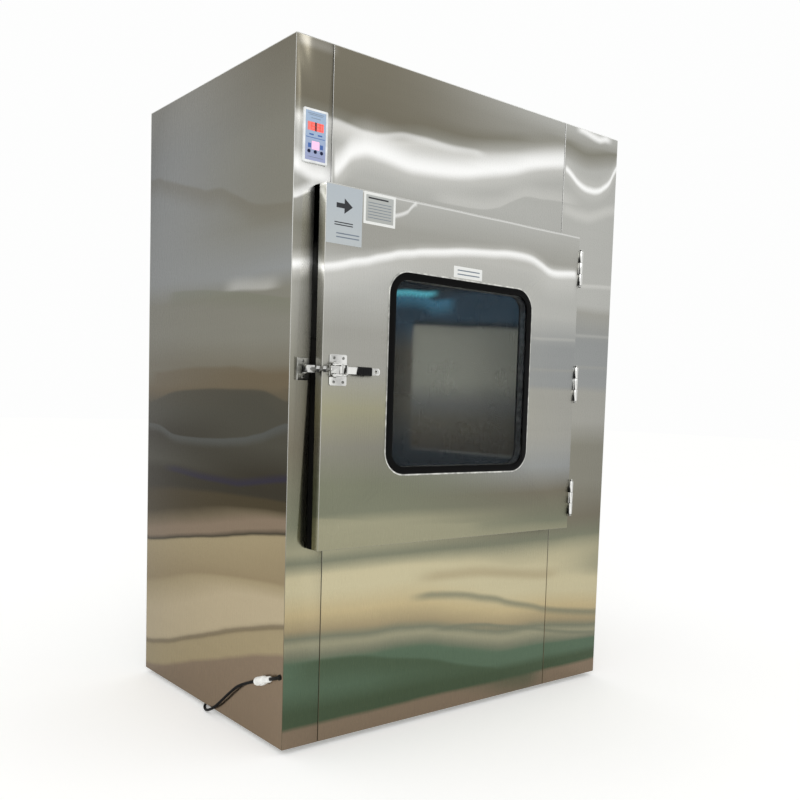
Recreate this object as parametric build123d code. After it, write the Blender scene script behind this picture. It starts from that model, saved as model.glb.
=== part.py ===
from build123d import *
import math
import os

# Cleanroom pass box: a free-standing stainless casing with a chamber through it
# and a hinged, latched, glazed door at each end of the chamber.
# Millimetres. +X to the right seen from the front, +Y to the back, +Z up.
# The origin is on the floor, under the middle of the casing.

# ---------------------------------------------------------------- casing
casing_width = 1240.0
casing_depth = 880.0
foot_gap = 15.0              # floor to the casing's underside
sheet = 1.5                  # casing and chamber sheet
seam_gap = 2.0               # open joint between neighbouring front panels
fold_depth = 12.0            # returns folded in along each seam
corner_fold = 15.0           # returns along the side panels' upright edges
tube_size = 30.0             # square frame tube
tube_wall = 2.0

# --------------------------------------------------------------- chamber
opening_width = 800.0
opening_height = 800.0
opening_left = 134.0         # from the casing's left side
opening_sill = 583.0         # from the casing's underside
left_jamb = 25.0             # opening to the seam on its left
right_jamb = 48.0            # opening to the seam on its right
slot_count = 12              # supply-air slots in the ceiling
slot_width = 12.0
slot_length = 560.0
slot_pitch = 46.0
grille_count = 12            # return-air slots in the right wall
grille_slot = (14.0, 60.0)   # width along Y and height
grille_pitch = 48.0
grille_rise = 20.0           # from the chamber floor to the slots

# ------------------------------------------------------------------ door
door_lap_side = 74.0         # the door laps over the opening's sides
door_lap_end = 60.0          # and over its head and sill
door_thickness = 30.0        # steel leaf
seal_depth = 25.0            # rubber seal between leaf and casing
seal_width = 20.0
seal_gap = 0.3               # left between the seal and the casing
window_width = 535.0         # over the window gasket
window_height = 540.0
window_radius = 62.0
gasket_band = 20.0           # visible width of the window gasket
gasket_lip = 3.0             # the gasket stands proud of the leaf
gasket_cover = 8.0           # the lip's overlap on the leaf
glass_gap = 4.0              # the leaf's cut edge to the glass, under the lip
pane_thickness = 5.0

# ---------------------------------------------------------------- hinges
hinge_end_inset = 97.0       # door end to the centre of the outer hinges
hinge_axis_inset = 8.0       # door's edge to the pin
hinge_axis_proud = 1.0       # pin in front of the leaf's face
barrel_radius = 7.0
pin_radius = 3.0
pin_play = 0.05
knuckle_length = 35.0
knuckle_gap = 0.3
leaf_thickness = 3.0
leaf_height = 100.0
hinge_foot_width = 38.0
hinge_foot_bevel = 7.0
door_leaf_depth = 17.0       # flat of the door's leaf, behind its knuckle
knuckle_root = 2.0           # leaf's stock left behind the barrel

# ----------------------------------------------------------------- latch
latch_plate_height = 79.0
latch_plate_width = 53.0
latch_plate_inset = 20.0     # door's edge to the base plate
latch_plate_thickness = 3.0
latch_bevel = 3.0            # plate, lug and keeper corners
latch_pin_inset = 28.0       # door's edge to the lever's pin
latch_pin_proud = 15.0       # leaf's face to the lever's pin
latch_pin_radius = 3.0
link_offset = (14.0, 9.0)    # lever pin to link pin: along the door, outward
lug_gap = 30.6               # clear height between the base's lugs
lug_thickness = 3.0
ear_thickness = 3.0
ear_play = 0.3
lever_length = 139.0         # lever pin to the lever's tip
neck_start = 38.0            # lever pin to the solid neck
neck_end = 69.0
grip_end = 112.0
lever_height = 18.0
lever_thickness = 6.0
grip_height = 22.0
grip_thickness = 13.0
grip_seat = 1.0              # depth of the bar's waist under the grip
lever_neck_depth = 8.0
padlock_hole_radius = 4.0
link_height = 18.0
link_thickness = 3.0
link_eye_size = 12.0
link_eye_bevel = 3.0
link_arm_length = 32.0       # link pin to the end of the flat that takes the rod
link_over_hook = 10.0        # hook's tip to the strap in front of it
strap_length = 18.0          # strap past the hook
rod_radius = 4.0
nut_flats = 15.0
nut_shares = ((0.2, 0.36), (0.56, 0.72))  # along the rod
keeper_width = 38.0
keeper_height = 57.0
keeper_thickness = 3.0
keeper_gap = 5.0             # keeper plate to the door's edge
keeper_hook_rise = 34.0      # casing face to the hook's tip
keeper_hook_height = 24.0
keeper_hook_thickness = 4.0
keeper_lip = 9.0             # raised edge in front of the plate
hook_play = 0.3
claw_drop = 24.0             # how far the claw reaches in behind the hook

# ------------------------------------------------------------ controller
panel_width = 71.0
panel_height = 131.0
panel_thickness = 5.0
panel_left = 22.0            # from the casing's left side
panel_share = 0.361          # height left below the panel, of what is free between the rails
panel_housing_depth = 55.0
panel_housing_inset = 10.0
panel_recess_inset = 5.5
panel_recess_depth = 1.0
panel_bevel = 2.5
key_radius = 4.0
key_play = 0.3
key_length = 5.0
key_travel = 1.0
key_backing = 0.2            # left behind a key that is pressed home
key_pitch = 18.5
key_rise = 27.5              # bezel's lower edge to the keys

# ------------------------------------------------------------- interlock
magnet_size = (180.0, 19.7, 30.0)
armature_size = (170.0, 28.0)

# ---------------------------------------------------- filter and blower
filter_side = 640.0
filter_height = 90.0
filter_rim = 20.0
filter_recess = 6.0
plenum_height = 60.0
blower_headroom = 28.0       # scroll's top to the cover
volute_step = 16.0           # side of the volute's base square
volute_radius = 92.0         # first of the volute's three quarter arcs
volute_drop = 120.0          # wheel's axis to the outlet flange
volute_width = 150.0
volute_wall = 2.0
wheel_radius = 78.0
wheel_ring = 12.0            # radial depth of the blades
wheel_length = 124.0
wheel_disc = 2.0
blade_count = 12
blade_thickness = 1.6
blade_angle = 25.0
shaft_radius = 5.0
shaft_play = 0.05
inlet_radius = 62.0
motor_radius = 55.0
motor_length = 60.0

# --------------------------------------------------------- germicidal lamp
lamp_radius = 8.0
lamp_length = 430.0
lamp_drop = 22.0             # chamber ceiling to the tube's axis
lamp_inset = 46.0            # chamber's left wall to the tube's axis
holder_size = (22.0, 18.0)

# ------------------------------------------------------------------ feet
foot_inset = 60.0
foot_radius = 25.0
foot_disc = 5.0
foot_nut_flats = 19.0

# ------------------------------------------------------------- mains lead
lead_diameter = 8.0
elbow_reach = 14.0           # side panel to the lead's axis
elbow_radius = 10.0
elbow_nut = (4.0, 28.0)      # thickness and flats of the gland's nut
elbow_rise = 189.0           # casing's underside to the elbow
elbow_inset = 16.0           # casing's front to the elbow
elbow_outlet = 26.0
coupler_length = 94.0
coupler_radius = 13.0
coupler_boot = 0.72          # share of the coupler before its slim boot
coupler_boot_radius = 7.0
coupler_slope = 19.0         # degrees below level
coil_mean_radius = 45.0
coil_width = 24.0
coil_height = 24.0
coil_clearance = 0.5
coil_sides = 24
lead_sides = 8
lead_bend = 0.45             # share of the shorter run that a bend takes
lead_clearance = 0.1
plug_size = (35.0, 34.0, 26.0)
plug_bevel = 6.0
plug_pin = (15.0, 6.0, 2.0)
plug_pin_places = ((-7.0, 8.0), (7.0, 8.0), (0.0, 18.0))
lead_route = [               # after the coupler, down to the floor and behind the casing
    (-634.0, -238.0, 139.9), (-634.0, -181.0, 101.0), (-634.0, -124.0, 58.0),
    (-634.0, -80.0, 26.0), (-632.0, -30.0, 4.0), (-614.0, 20.0, 4.0),
    (-572.0, 55.0, 4.0), (-512.0, 78.0, 4.0), (-450.0, 108.0, 4.0),
    (-398.0, 162.0, 4.0), (-368.0, 240.0, 4.0), (-352.0, 322.0, 4.0),
    (-349.0, 400.0, 4.0), (-353.0, 469.0, 4.0),
]

# --------------------------------------------------- places worked out
volute_height = volute_drop + volute_step / 2 + volute_radius + volute_step
casing_height = (opening_sill + opening_height + sheet + filter_height + plenum_height + volute_height
                 + blower_headroom + sheet)
left_x = -casing_width / 2
right_x = casing_width / 2
front_y = -casing_depth / 2
back_y = casing_depth / 2
base_z = foot_gap
top_z = base_z + casing_height
opening_x0 = left_x + opening_left
opening_x1 = opening_x0 + opening_width
opening_x = (opening_x0 + opening_x1) / 2
sill_z = base_z + opening_sill
head_z = sill_z + opening_height
left_seam_x = opening_x0 - left_jamb
right_seam_x = opening_x1 + right_jamb
door_width = opening_width + 2 * door_lap_side
door_height = opening_height + 2 * door_lap_end
door_x0 = opening_x - door_width / 2
door_x1 = opening_x + door_width / 2
door_z = (sill_z + head_z) / 2
door_z0 = door_z - door_height / 2
door_z1 = door_z + door_height / 2
leaf_back = front_y - seal_depth
leaf_face = leaf_back - door_thickness
hinge_x = door_x1 + hinge_axis_inset
hinge_y = leaf_face - hinge_axis_proud
hinge_rise = door_height / 2 - hinge_end_inset
hinge_heights = [door_z - hinge_rise, door_z, door_z + hinge_rise]
pin_x = door_x0 + latch_pin_inset
pin_y = leaf_face - latch_pin_proud
link_x = pin_x + link_offset[0]
link_y = pin_y - link_offset[1]
keeper_x0 = door_x0 - keeper_gap - keeper_width
hook_x0 = keeper_x0 + keeper_width / 2 - 10
chamber_ceiling_z = head_z + sheet
filter_z = chamber_ceiling_z
plenum_z = filter_z + filter_height
volute_base_z = plenum_z + plenum_height
outlet_x0 = opening_x - volute_radius - 2.5 * volute_step
outlet_x1 = opening_x - 1.5 * volute_step
wheel_z = volute_base_z + volute_drop
upper_rail_z = top_z - sheet - tube_size
panel_room = upper_rail_z - chamber_ceiling_z - tube_size - panel_height
panel_z0 = chamber_ceiling_z + tube_size + panel_share * panel_room
panel_x0 = left_x + panel_left

nodes = {}


# ----------------------------------------------------------------- helpers
def block(x, y, z):
    """A rectangular solid from three (low, high) pairs."""
    centre = Pos((x[0] + x[1]) / 2, (y[0] + y[1]) / 2, (z[0] + z[1]) / 2)
    return centre * Box(x[1] - x[0], y[1] - y[0], z[1] - z[0])


def round_bar(start, end, radius):
    """A round bar between two points."""
    axis = Vector(*end) - Vector(*start)
    plane = Plane(origin=start, z_dir=axis)
    return extrude(plane * Circle(radius), axis.length)


def hex_nut(start, end, flats):
    """A hexagonal nut between two points on its axis."""
    axis = Vector(*end) - Vector(*start)
    plane = Plane(origin=start, z_dir=axis)
    return extrude(plane * RegularPolygon(flats / 2, 6, major_radius=False), axis.length)


def window_slab(inset, y0, y1):
    """A slab of the window's rounded outline, drawn in from the gasket's edge."""
    outline = RectangleRounded(window_width - 2 * inset, window_height - 2 * inset, window_radius - inset)
    slab = extrude(Plane.XZ * Pos(opening_x, door_z) * outline, y1 - y0)
    return Pos(0, y1, 0) * slab


def rear(shape):
    """The same piece at the other end of the chamber."""
    return mirror(shape, about=Plane.XZ)


def solids_of(*shapes):
    """Every separate solid of the given shapes."""
    return [solid for shape in shapes for solid in shape.solids()]


def keep(name, *shapes):
    """Register a node made of one or more separate solids."""
    solids = solids_of(*shapes)
    nodes[name] = solids[0] if len(solids) == 1 else Compound(children=solids)
    nodes[name].label = name


def keep_both(name, shape):
    """Register the front and rear copies of a piece as two nodes."""
    keep("front_" + name, shape)
    keep("rear_" + name, rear(shape))


# ------------------------------------------------------------------ casing
def side_panel(outer_x, inward):
    """A side sheet with a return folded in along each upright edge."""
    span = sorted((outer_x, outer_x + inward * sheet))
    fold = sorted((outer_x + inward * sheet, outer_x + inward * corner_fold))
    y0 = front_y + sheet
    y1 = back_y - sheet
    z = (base_z, top_z - sheet)
    panel = block(span, (y0, y1), z)
    panel += block(fold, (y0, y0 + sheet), z)
    panel += block(fold, (y1 - sheet, y1), z)
    return panel


def front_sheet(x, z, folds):
    """A sheet on the front face with returns folded in at the given X positions."""
    panel = block(x, (front_y, front_y + sheet), z)
    for edge in folds:
        inward = 1 if edge == x[0] else -1
        fold = sorted((edge, edge + inward * sheet))
        panel += block(fold, (front_y + sheet, front_y + fold_depth), z)
    return panel


def controller_cutout():
    """The hole in the left strip that the controller's housing passes through."""
    x0 = panel_x0 + panel_housing_inset
    z0 = panel_z0 + panel_housing_inset
    return block((x0, x0 + panel_width - 2 * panel_housing_inset), (front_y - 1, front_y + sheet + 1),
                 (z0, z0 + panel_height - 2 * panel_housing_inset))


def build_casing():
    """Side panels, top cover, base pan and the front and rear sheets."""
    keep("side_panel_left", side_panel(left_x, 1))
    keep("side_panel_right", side_panel(right_x, -1))
    keep("top_cover", block((left_x, right_x), (front_y, back_y), (top_z - sheet, top_z)))
    keep("base_pan", block((left_x + sheet, right_x - sheet), (front_y + fold_depth, back_y - fold_depth),
                           (base_z, base_z + sheet)))
    full = (base_z, top_z - sheet)
    left_edge = left_seam_x - seam_gap / 2
    right_edge = right_seam_x + seam_gap / 2
    centre = (left_seam_x + seam_gap / 2, right_seam_x - seam_gap / 2)
    strip = front_sheet((left_x, left_edge), full, [left_edge])
    keep("left_strips", strip - controller_cutout(), rear(strip))
    strip = front_sheet((right_edge, right_x), full, [right_edge])
    keep("right_strips", strip, rear(strip))
    upper = front_sheet(centre, (head_z, top_z - sheet), centre)
    keep("upper_panels", upper, rear(upper))
    lower = front_sheet(centre, (base_z, sill_z), centre)
    keep("lower_panels", lower, rear(lower))


def tube(start, size, axis):
    """A square frame tube from its low corner, running along an axis."""
    lengths = [tube_size, tube_size, tube_size]
    lengths[axis] = size
    bores = [tube_size - 2 * tube_wall] * 3
    bores[axis] = size
    centre = Pos(*(start[i] + lengths[i] / 2 for i in range(3)))
    return centre * (Box(*lengths) - Box(*bores))


def build_frame():
    """Welded frame of square tubes inside the casing."""
    post_x = (left_x + sheet, right_x - sheet - tube_size)
    post_y = (front_y + 2 * sheet, back_y - 2 * sheet - tube_size)
    low = base_z + sheet
    post_height = top_z - sheet - low
    keep("frame_posts", *[tube((x, y, low), post_height, 2) for x in post_x for y in post_y])
    inner_x = post_x[0] + tube_size
    span_x = post_x[1] - inner_x
    inner_y = post_y[0] + tube_size
    span_y = post_y[1] - inner_y
    rail_y = (front_y + fold_depth, back_y - fold_depth - tube_size)
    rail_levels = (low, sill_z - sheet - tube_size, chamber_ceiling_z, upper_rail_z)
    rails = [tube((inner_x, y, z), span_x, 0) for z in rail_levels for y in rail_y]
    rails += [tube((x, inner_y, z), span_y, 1) for z in rail_levels for x in post_x]
    keep("frame_rails", *rails)


def build_feet():
    """Low levelling feet under the casing."""
    places = [(x, y) for x in (left_x + foot_inset, 0, right_x - foot_inset)
              for y in (front_y + foot_inset, back_y - foot_inset)]
    feet = []
    for x, y in places:
        disc = Pos(x, y, 0) * extrude(Circle(foot_radius), foot_disc)
        feet.append(disc + hex_nut((x, y, foot_disc), (x, y, base_z), foot_nut_flats))
    keep("levelling_feet", *feet)


# ----------------------------------------------------------------- chamber
def chamber_wall(inner_x, seam_x):
    """A side wall of the chamber with flanges folded out flush with both faces."""
    outward = -1 if seam_x < inner_x else 1
    web = sorted((inner_x, inner_x + outward * sheet))
    flange = sorted((inner_x + outward * sheet, seam_x - outward * seam_gap / 2))
    z = (sill_z, head_z)
    wall = block(web, (front_y, back_y), z)
    wall += block(flange, (front_y, front_y + sheet), z)
    wall += block(flange, (back_y - sheet, back_y), z)
    return wall


def build_chamber():
    """Chamber walls, floor and slotted ceiling."""
    keep("chamber_left_wall", chamber_wall(opening_x0, left_seam_x))
    wall = chamber_wall(opening_x1, right_seam_x)
    cut_x = (opening_x1 - 1, opening_x1 + sheet + 1)
    z0 = sill_z + grille_rise
    for i in range(grille_count):
        y = (i - (grille_count - 1) / 2) * grille_pitch
        wall -= block(cut_x, (y - grille_slot[0] / 2, y + grille_slot[0] / 2), (z0, z0 + grille_slot[1]))
    keep("chamber_right_wall", wall)
    x = (opening_x0 - sheet, opening_x1 + sheet)
    y = (front_y + sheet, back_y - sheet)
    keep("chamber_floor", block(x, y, (sill_z - sheet, sill_z)))
    ceiling = block(x, y, (head_z, head_z + sheet))
    for i in range(slot_count):
        mid = (i - (slot_count - 1) / 2) * slot_pitch
        ceiling -= block((opening_x - slot_length / 2, opening_x + slot_length / 2),
                         (mid - slot_width / 2, mid + slot_width / 2), (head_z - 1, head_z + sheet + 1))
    keep("chamber_ceiling", ceiling)


def build_lamp():
    """Germicidal tube and its two holders under the ceiling."""
    x = opening_x0 + lamp_inset
    z = head_z - lamp_drop
    half = lamp_length / 2
    keep("uv_lamp", round_bar((x, -half, z), (x, half, z), lamp_radius))
    holders = []
    for y in (-half - holder_size[1], half):
        body = block((x - holder_size[0] / 2, x + holder_size[0] / 2), (y, y + holder_size[1]),
                     (z - holder_size[0] / 2, head_z))
        holders.append(chamfer(body.edges().filter_by(Axis.Y).group_by(Axis.Z)[0], holder_size[0] / 4))
    keep("lamp_holders", *holders)


# ------------------------------------------------------ filter and blower
def volute_face(inset):
    """The blower's scroll drawn by the base-square method, seen along its axis."""
    half = volute_step / 2
    radii = [volute_radius - inset + i * volute_step for i in range(3)]
    first = CenterArc((half, half), radii[0], 270, 90)
    second = CenterArc((-half, half), radii[1], 0, 90)
    third = CenterArc((-half, -half), radii[2], 90, 90)
    outlet_x = -half - radii[2]
    tongue = (-half - volute_step + inset, -volute_drop)
    rest = Polyline((outlet_x, -half), (outlet_x, -volute_drop), tongue, (half, half - radii[0]))
    return make_face(first + second + third + rest)


def across(face, y0, y1):
    """Extrude a face drawn in the XZ plane about the wheel's axis, from y0 to y1."""
    return Pos(0, y1, 0) * extrude(Plane.XZ * Pos(opening_x, wheel_z) * face, y1 - y0)


def build_filter():
    """Final filter on the chamber's ceiling and the plenum on it."""
    half = filter_side / 2
    x = (opening_x - half, opening_x + half)
    body = block(x, (-half, half), (filter_z, filter_z + filter_height))
    inner_x = (x[0] + filter_rim, x[1] - filter_rim)
    inner_y = (-half + filter_rim, half - filter_rim)
    body -= block(inner_x, inner_y, (filter_z - 1, filter_z + filter_recess))
    body -= block(inner_x, inner_y, (plenum_z - filter_recess, plenum_z + 1))
    keep("final_filter", body)
    plenum = block(x, (-half, half), (plenum_z, volute_base_z))
    plenum -= block((x[0] + sheet, x[1] - sheet), (-half + sheet, half - sheet), (plenum_z - 1, volute_base_z - sheet))
    reach = volute_width / 2
    plenum -= block((outlet_x0 + volute_wall, outlet_x1 - volute_wall), (-reach + volute_wall, reach - volute_wall),
                    (volute_base_z - 2 * sheet, volute_base_z + 1))
    keep("plenum", plenum)


def build_blower():
    """Scroll housing, motor and bladed wheel."""
    reach = volute_width / 2
    inner = reach - volute_wall
    housing = across(volute_face(0), -reach, reach) - across(volute_face(volute_wall), -inner, inner)
    housing -= block((outlet_x0 + volute_wall, outlet_x1 - volute_wall), (-inner, inner),
                     (volute_base_z - 1, volute_base_z + 2 * volute_wall))
    housing -= across(Circle(inlet_radius), -reach - 1, -inner + 1)
    housing -= across(Circle(shaft_radius * 2), inner - 1, reach + 1)
    keep("blower_housing", housing)
    motor = across(Circle(motor_radius), reach, reach + motor_length)
    motor -= across(Circle(shaft_radius + shaft_play), reach - 1, reach + motor_length / 2)
    keep("blower_motor", motor)
    half = wheel_length / 2
    ring = Circle(wheel_radius) - Circle(wheel_radius - wheel_ring)
    wheel = across(ring, -half, -half + wheel_disc) + across(Circle(wheel_radius), half - wheel_disc, half)
    blade = Pos(wheel_radius - wheel_ring / 2, 0) * Rot(0, 0, blade_angle) * Rectangle(wheel_ring * 0.9, blade_thickness)
    for i in range(blade_count):
        wheel += across(Rot(0, 0, 360 * i / blade_count) * blade, -half + wheel_disc / 2, half - wheel_disc / 2)
    wheel += across(Circle(shaft_radius), half - wheel_disc, reach + motor_length / 2 - 1)
    keep("blower_wheel", wheel)


# ------------------------------------------------------------------- doors
def pane(y0, y1):
    """One sheet of the double glazing."""
    return window_slab(gasket_cover + glass_gap, y0, y1)


def gasket(y0, y1):
    """Flat rubber window section that laps over the leaf's cut edge and the glass."""
    return window_slab(0, y0, y1) - window_slab(gasket_band, y0, y1)


def door_seal():
    """Four mitred lengths of rubber behind the leaf."""
    x = (door_x0, door_x1)
    z = (door_z0, door_z1)
    outer = [(x[0], z[0]), (x[1], z[0]), (x[1], z[1]), (x[0], z[1])]
    w = seal_width
    inner = [(x[0] + w, z[0] + w), (x[1] - w, z[0] + w), (x[1] - w, z[1] - w), (x[0] + w, z[1] - w)]
    lengths = []
    for i in range(4):
        j = (i + 1) % 4
        face = make_face(Polyline(outer[i], outer[j], inner[j], inner[i], close=True))
        bar = extrude(Plane.XZ * face, seal_depth - seal_gap)
        lengths.append(Pos(0, front_y - seal_gap, 0) * bar)
    return lengths


def build_door():
    """The leaf's shell and liner, its glazing, gaskets and seal."""
    x = (door_x0, door_x1)
    z = (door_z0, door_z1)
    inner_x = (x[0] + sheet, x[1] - sheet)
    inner_z = (z[0] + sheet, z[1] - sheet)
    shell = block(x, (leaf_face, leaf_back), z) - block(inner_x, (leaf_face + sheet, leaf_back + 1), inner_z)
    shell -= window_slab(gasket_cover, leaf_face - 1, leaf_face + sheet + 1)
    keep_both("door_shell", shell)
    liner = block(inner_x, (leaf_back - sheet, leaf_back), inner_z)
    liner -= window_slab(gasket_cover, leaf_back - sheet - 1, leaf_back + 1)
    keep_both("door_liner", liner)
    outer_pane = pane(leaf_face, leaf_face + pane_thickness)
    inner_pane = pane(leaf_back - pane_thickness, leaf_back)
    keep_both("window_panes", Compound(children=solids_of(outer_pane, inner_pane)))
    outer_gasket = gasket(leaf_face - gasket_lip, leaf_face)
    inner_gasket = gasket(leaf_back, leaf_back + gasket_lip)
    keep_both("window_gaskets", Compound(children=solids_of(outer_gasket, inner_gasket)))
    inset = gasket_cover + glass_gap
    spacer = window_slab(inset, leaf_face + pane_thickness, leaf_back - pane_thickness)
    spacer -= window_slab(gasket_band, leaf_face + pane_thickness, leaf_back - pane_thickness)
    keep_both("pane_spacer", spacer)
    keep_both("door_seal", Compound(children=solids_of(*door_seal())))


# ------------------------------------------------------------------ hinges
def hinge_round(radius, z0, z1):
    """A round length on the hinge's axis."""
    return Pos(hinge_x, hinge_y, z0) * extrude(Circle(radius), z1 - z0)


def cabinet_leaf(z):
    """Angle leaf: a foot on the casing, a web out to the end knuckles and the pin pressed in them."""
    half = leaf_height / 2
    middle = knuckle_length / 2 + knuckle_gap
    end = middle + knuckle_length
    web_x1 = hinge_x + barrel_radius - 1
    web_x = (web_x1 - leaf_thickness, web_x1)
    foot = block((web_x[0], web_x[0] + hinge_foot_width), (front_y - leaf_thickness, front_y), (z - half, z + half))
    foot = chamfer(foot.edges().filter_by(Axis.Y).group_by(Axis.X)[-1], hinge_foot_bevel)
    web_back = hinge_y + barrel_radius + knuckle_root
    leaf = foot + block(web_x, (web_back, front_y - leaf_thickness), (z - half, z + half))
    for z0, z1 in ((z - end, z - middle), (z + middle, z + end)):
        leaf += block(web_x, (hinge_y, web_back), (z0, z1))
        leaf += hinge_round(barrel_radius, z0, z1)
    return leaf + hinge_round(pin_radius, z - middle - 1, z + middle + 1)


def door_leaf(z):
    """Flat leaf on the door's edge with the bored middle knuckle."""
    half = leaf_height / 2
    middle = knuckle_length / 2
    x = (door_x1, door_x1 + leaf_thickness)
    root = hinge_y + barrel_radius + knuckle_root
    leaf = block(x, (root, root + door_leaf_depth), (z - half, z + half))
    leaf += block(x, (hinge_y, root), (z - middle, z + middle))
    leaf += hinge_round(barrel_radius, z - middle, z + middle)
    return leaf - hinge_round(pin_radius + pin_play, z - middle - 1, z + middle + 1)


def build_hinges():
    """Three hinges on each door."""
    leaves = [cabinet_leaf(z) for z in hinge_heights]
    keep("hinge_cabinet_leaves", *leaves, *[rear(leaf) for leaf in leaves])
    keep_both("hinge_door_leaves", Compound(children=solids_of(*[door_leaf(z) for z in hinge_heights])))


# ------------------------------------------------------------------- latch
def latch_base():
    """Base plate with two lugs and the lever's pin riveted between them."""
    half = latch_plate_height / 2
    x0 = door_x0 + latch_plate_inset
    face = leaf_face - latch_plate_thickness
    plate = block((x0, x0 + latch_plate_width), (face, leaf_face), (door_z - half, door_z + half))
    base = chamfer(plate.edges().filter_by(Axis.Y), latch_bevel)
    lug_front = pin_y - 3 * latch_pin_radius
    for side in (-1, 1):
        near = door_z + side * lug_gap / 2
        far = near + side * lug_thickness
        lug = block((x0, pin_x + 3 * latch_pin_radius), (lug_front, face), sorted((near, far)))
        base += chamfer(lug.edges().filter_by(Axis.Z).group_by(Axis.Y)[0], latch_bevel)
    reach = (lug_gap + lug_thickness) / 2
    return base + round_bar((pin_x, pin_y, door_z - reach), (pin_x, pin_y, door_z + reach), latch_pin_radius)


def lever_ear(z0):
    """One ear of the lever's fork: it holds the lever's pin and the link's, and runs to the neck."""
    around = 3 * latch_pin_radius
    offset_x, offset_y = link_offset
    half = lever_neck_depth / 2
    outline = Polyline((-around, half), (-around / 2, around - 1), (around / 2, around - 1), (neck_start, half),
                       (neck_start, -half), (offset_x + 6, -offset_y - 7), (offset_x - 5, -offset_y - 7),
                       (-around, -half), close=True)
    return Pos(pin_x, pin_y, z0) * extrude(make_face(outline), ear_thickness)


def lever_steel():
    """Forked lever: two ears on the pin, a neck and a tip with a padlock hole."""
    outer = lug_gap / 2 - ear_play
    lever = lever_ear(door_z - outer) + lever_ear(door_z + outer - ear_thickness)
    lever -= round_bar((pin_x, pin_y, door_z - outer - 1), (pin_x, pin_y, door_z + outer + 1),
                       latch_pin_radius + pin_play)
    inner = outer - ear_thickness / 2
    lever += round_bar((link_x, link_y, door_z - inner), (link_x, link_y, door_z + inner), latch_pin_radius)
    neck_x = pin_x + neck_start
    half_depth = lever_neck_depth / 2
    lever += block((neck_x - half_depth, neck_x), (pin_y - half_depth, pin_y + half_depth),
                   (door_z - outer, door_z + outer))
    half = lever_height / 2
    bar_y = (pin_y - lever_thickness / 2, pin_y + lever_thickness / 2)
    bar = block((neck_x, pin_x + lever_length), bar_y, (door_z - half, door_z + half))
    bar = chamfer(bar.edges().filter_by(Axis.Y).group_by(Axis.X)[-1], half / 2)
    hole_x = pin_x + (grip_end + lever_length) / 2
    bar -= round_bar((hole_x, bar_y[0] - 1, door_z), (hole_x, bar_y[1] + 1, door_z), padlock_hole_radius)
    lever += bar
    grip_x = (pin_x + neck_end, pin_x + grip_end)
    for y in bar_y:
        lever -= block(grip_x, (y - grip_seat, y + grip_seat), (door_z - half - 1, door_z + half + 1))
    return lever


def lever_grip():
    """Moulded grip sleeved over the lever's bar."""
    half = grip_height / 2
    x = (pin_x + neck_end, pin_x + grip_end)
    y = (pin_y - grip_thickness / 2, pin_y + grip_thickness / 2)
    grip = block(x, y, (door_z - half, door_z + half))
    grip = chamfer(grip.edges().filter_by(Axis.X), latch_bevel)
    bore = lever_thickness / 2 - grip_seat
    return grip - block((x[0] - 1, x[1] + 1), (pin_y - bore, pin_y + bore),
                        (door_z - lever_height / 2, door_z + lever_height / 2))


def latch_link():
    """Cranked link: an eye on the lever, a threaded rod with nuts, and a claw."""
    half = link_height / 2
    z = (door_z - half, door_z + half)
    claw_x = (hook_x0 - hook_play - link_thickness, hook_x0 - hook_play)
    strap_y = front_y - keeper_hook_rise - link_over_hook
    claw = block(claw_x, (strap_y - link_thickness, strap_y + claw_drop), z)
    strap_end = hook_x0 + strap_length
    claw += block((claw_x[0], strap_end), (strap_y - link_thickness, strap_y), z)
    eye_half = link_eye_size / 2
    eye = block((link_x - eye_half, link_x + eye_half), (link_y - eye_half, link_y + eye_half), z)
    eye = chamfer(eye.edges().filter_by(Axis.Z), link_eye_bevel)
    arm_x = link_x - link_arm_length
    eye += block((arm_x, link_x), (link_y - link_thickness / 2, link_y + link_thickness / 2), z)
    rod_start = (strap_end - rod_radius, strap_y - link_thickness / 2, door_z)
    rod_end = (arm_x + rod_radius, link_y, door_z)
    link = claw + eye + round_bar(rod_start, rod_end, rod_radius)
    start = Vector(*rod_start)
    along = Vector(*rod_end) - start
    for low, high in nut_shares:
        link += hex_nut(tuple(start + along * low), tuple(start + along * high), nut_flats)
    return link - round_bar((link_x, link_y, z[0] - 1), (link_x, link_y, z[1] + 1), latch_pin_radius + pin_play)


def latch_keeper():
    """Keeper plate on the strip with a raised edge and the hook that the claw draws on."""
    half = keeper_height / 2
    face = front_y - keeper_thickness
    keeper = block((keeper_x0, keeper_x0 + keeper_width), (face, front_y), (door_z - half, door_z + half))
    keeper = chamfer(keeper.edges().filter_by(Axis.Y).group_by(Axis.X)[-1], latch_bevel)
    keeper += block((keeper_x0 - keeper_thickness, keeper_x0), (face - keeper_lip, front_y),
                    (door_z - half, door_z + half))
    half = keeper_hook_height / 2
    hook = block((hook_x0, hook_x0 + keeper_hook_thickness), (front_y - keeper_hook_rise, face),
                 (door_z - half, door_z + half))
    return keeper + chamfer(hook.edges().filter_by(Axis.X).group_by(Axis.Y)[0], latch_bevel)


def build_latches():
    """A draw latch on each door and its keeper on the casing."""
    keep_both("latch_base", latch_base())
    keep_both("latch_lever", lever_steel())
    keep_both("latch_grip", lever_grip())
    keep_both("latch_link", latch_link())
    keeper = latch_keeper()
    keep("latch_keepers", keeper, rear(keeper))


def build_interlock():
    """Holding magnets over the chamber's mouths and the plates they hold."""
    width, depth, height = magnet_size
    z0 = head_z + (door_lap_end - seal_width - height) / 2
    magnet = block((opening_x - width / 2, opening_x + width / 2), (front_y - depth, front_y), (z0, z0 + height))
    keep("interlock_magnets", magnet, rear(magnet))
    width, height = armature_size
    z0 += (magnet_size[2] - height) / 2
    plate = block((opening_x - width / 2, opening_x + width / 2), (leaf_back, front_y - depth - seal_gap), (z0, z0 + height))
    keep_both("interlock_plate", plate)


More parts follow.
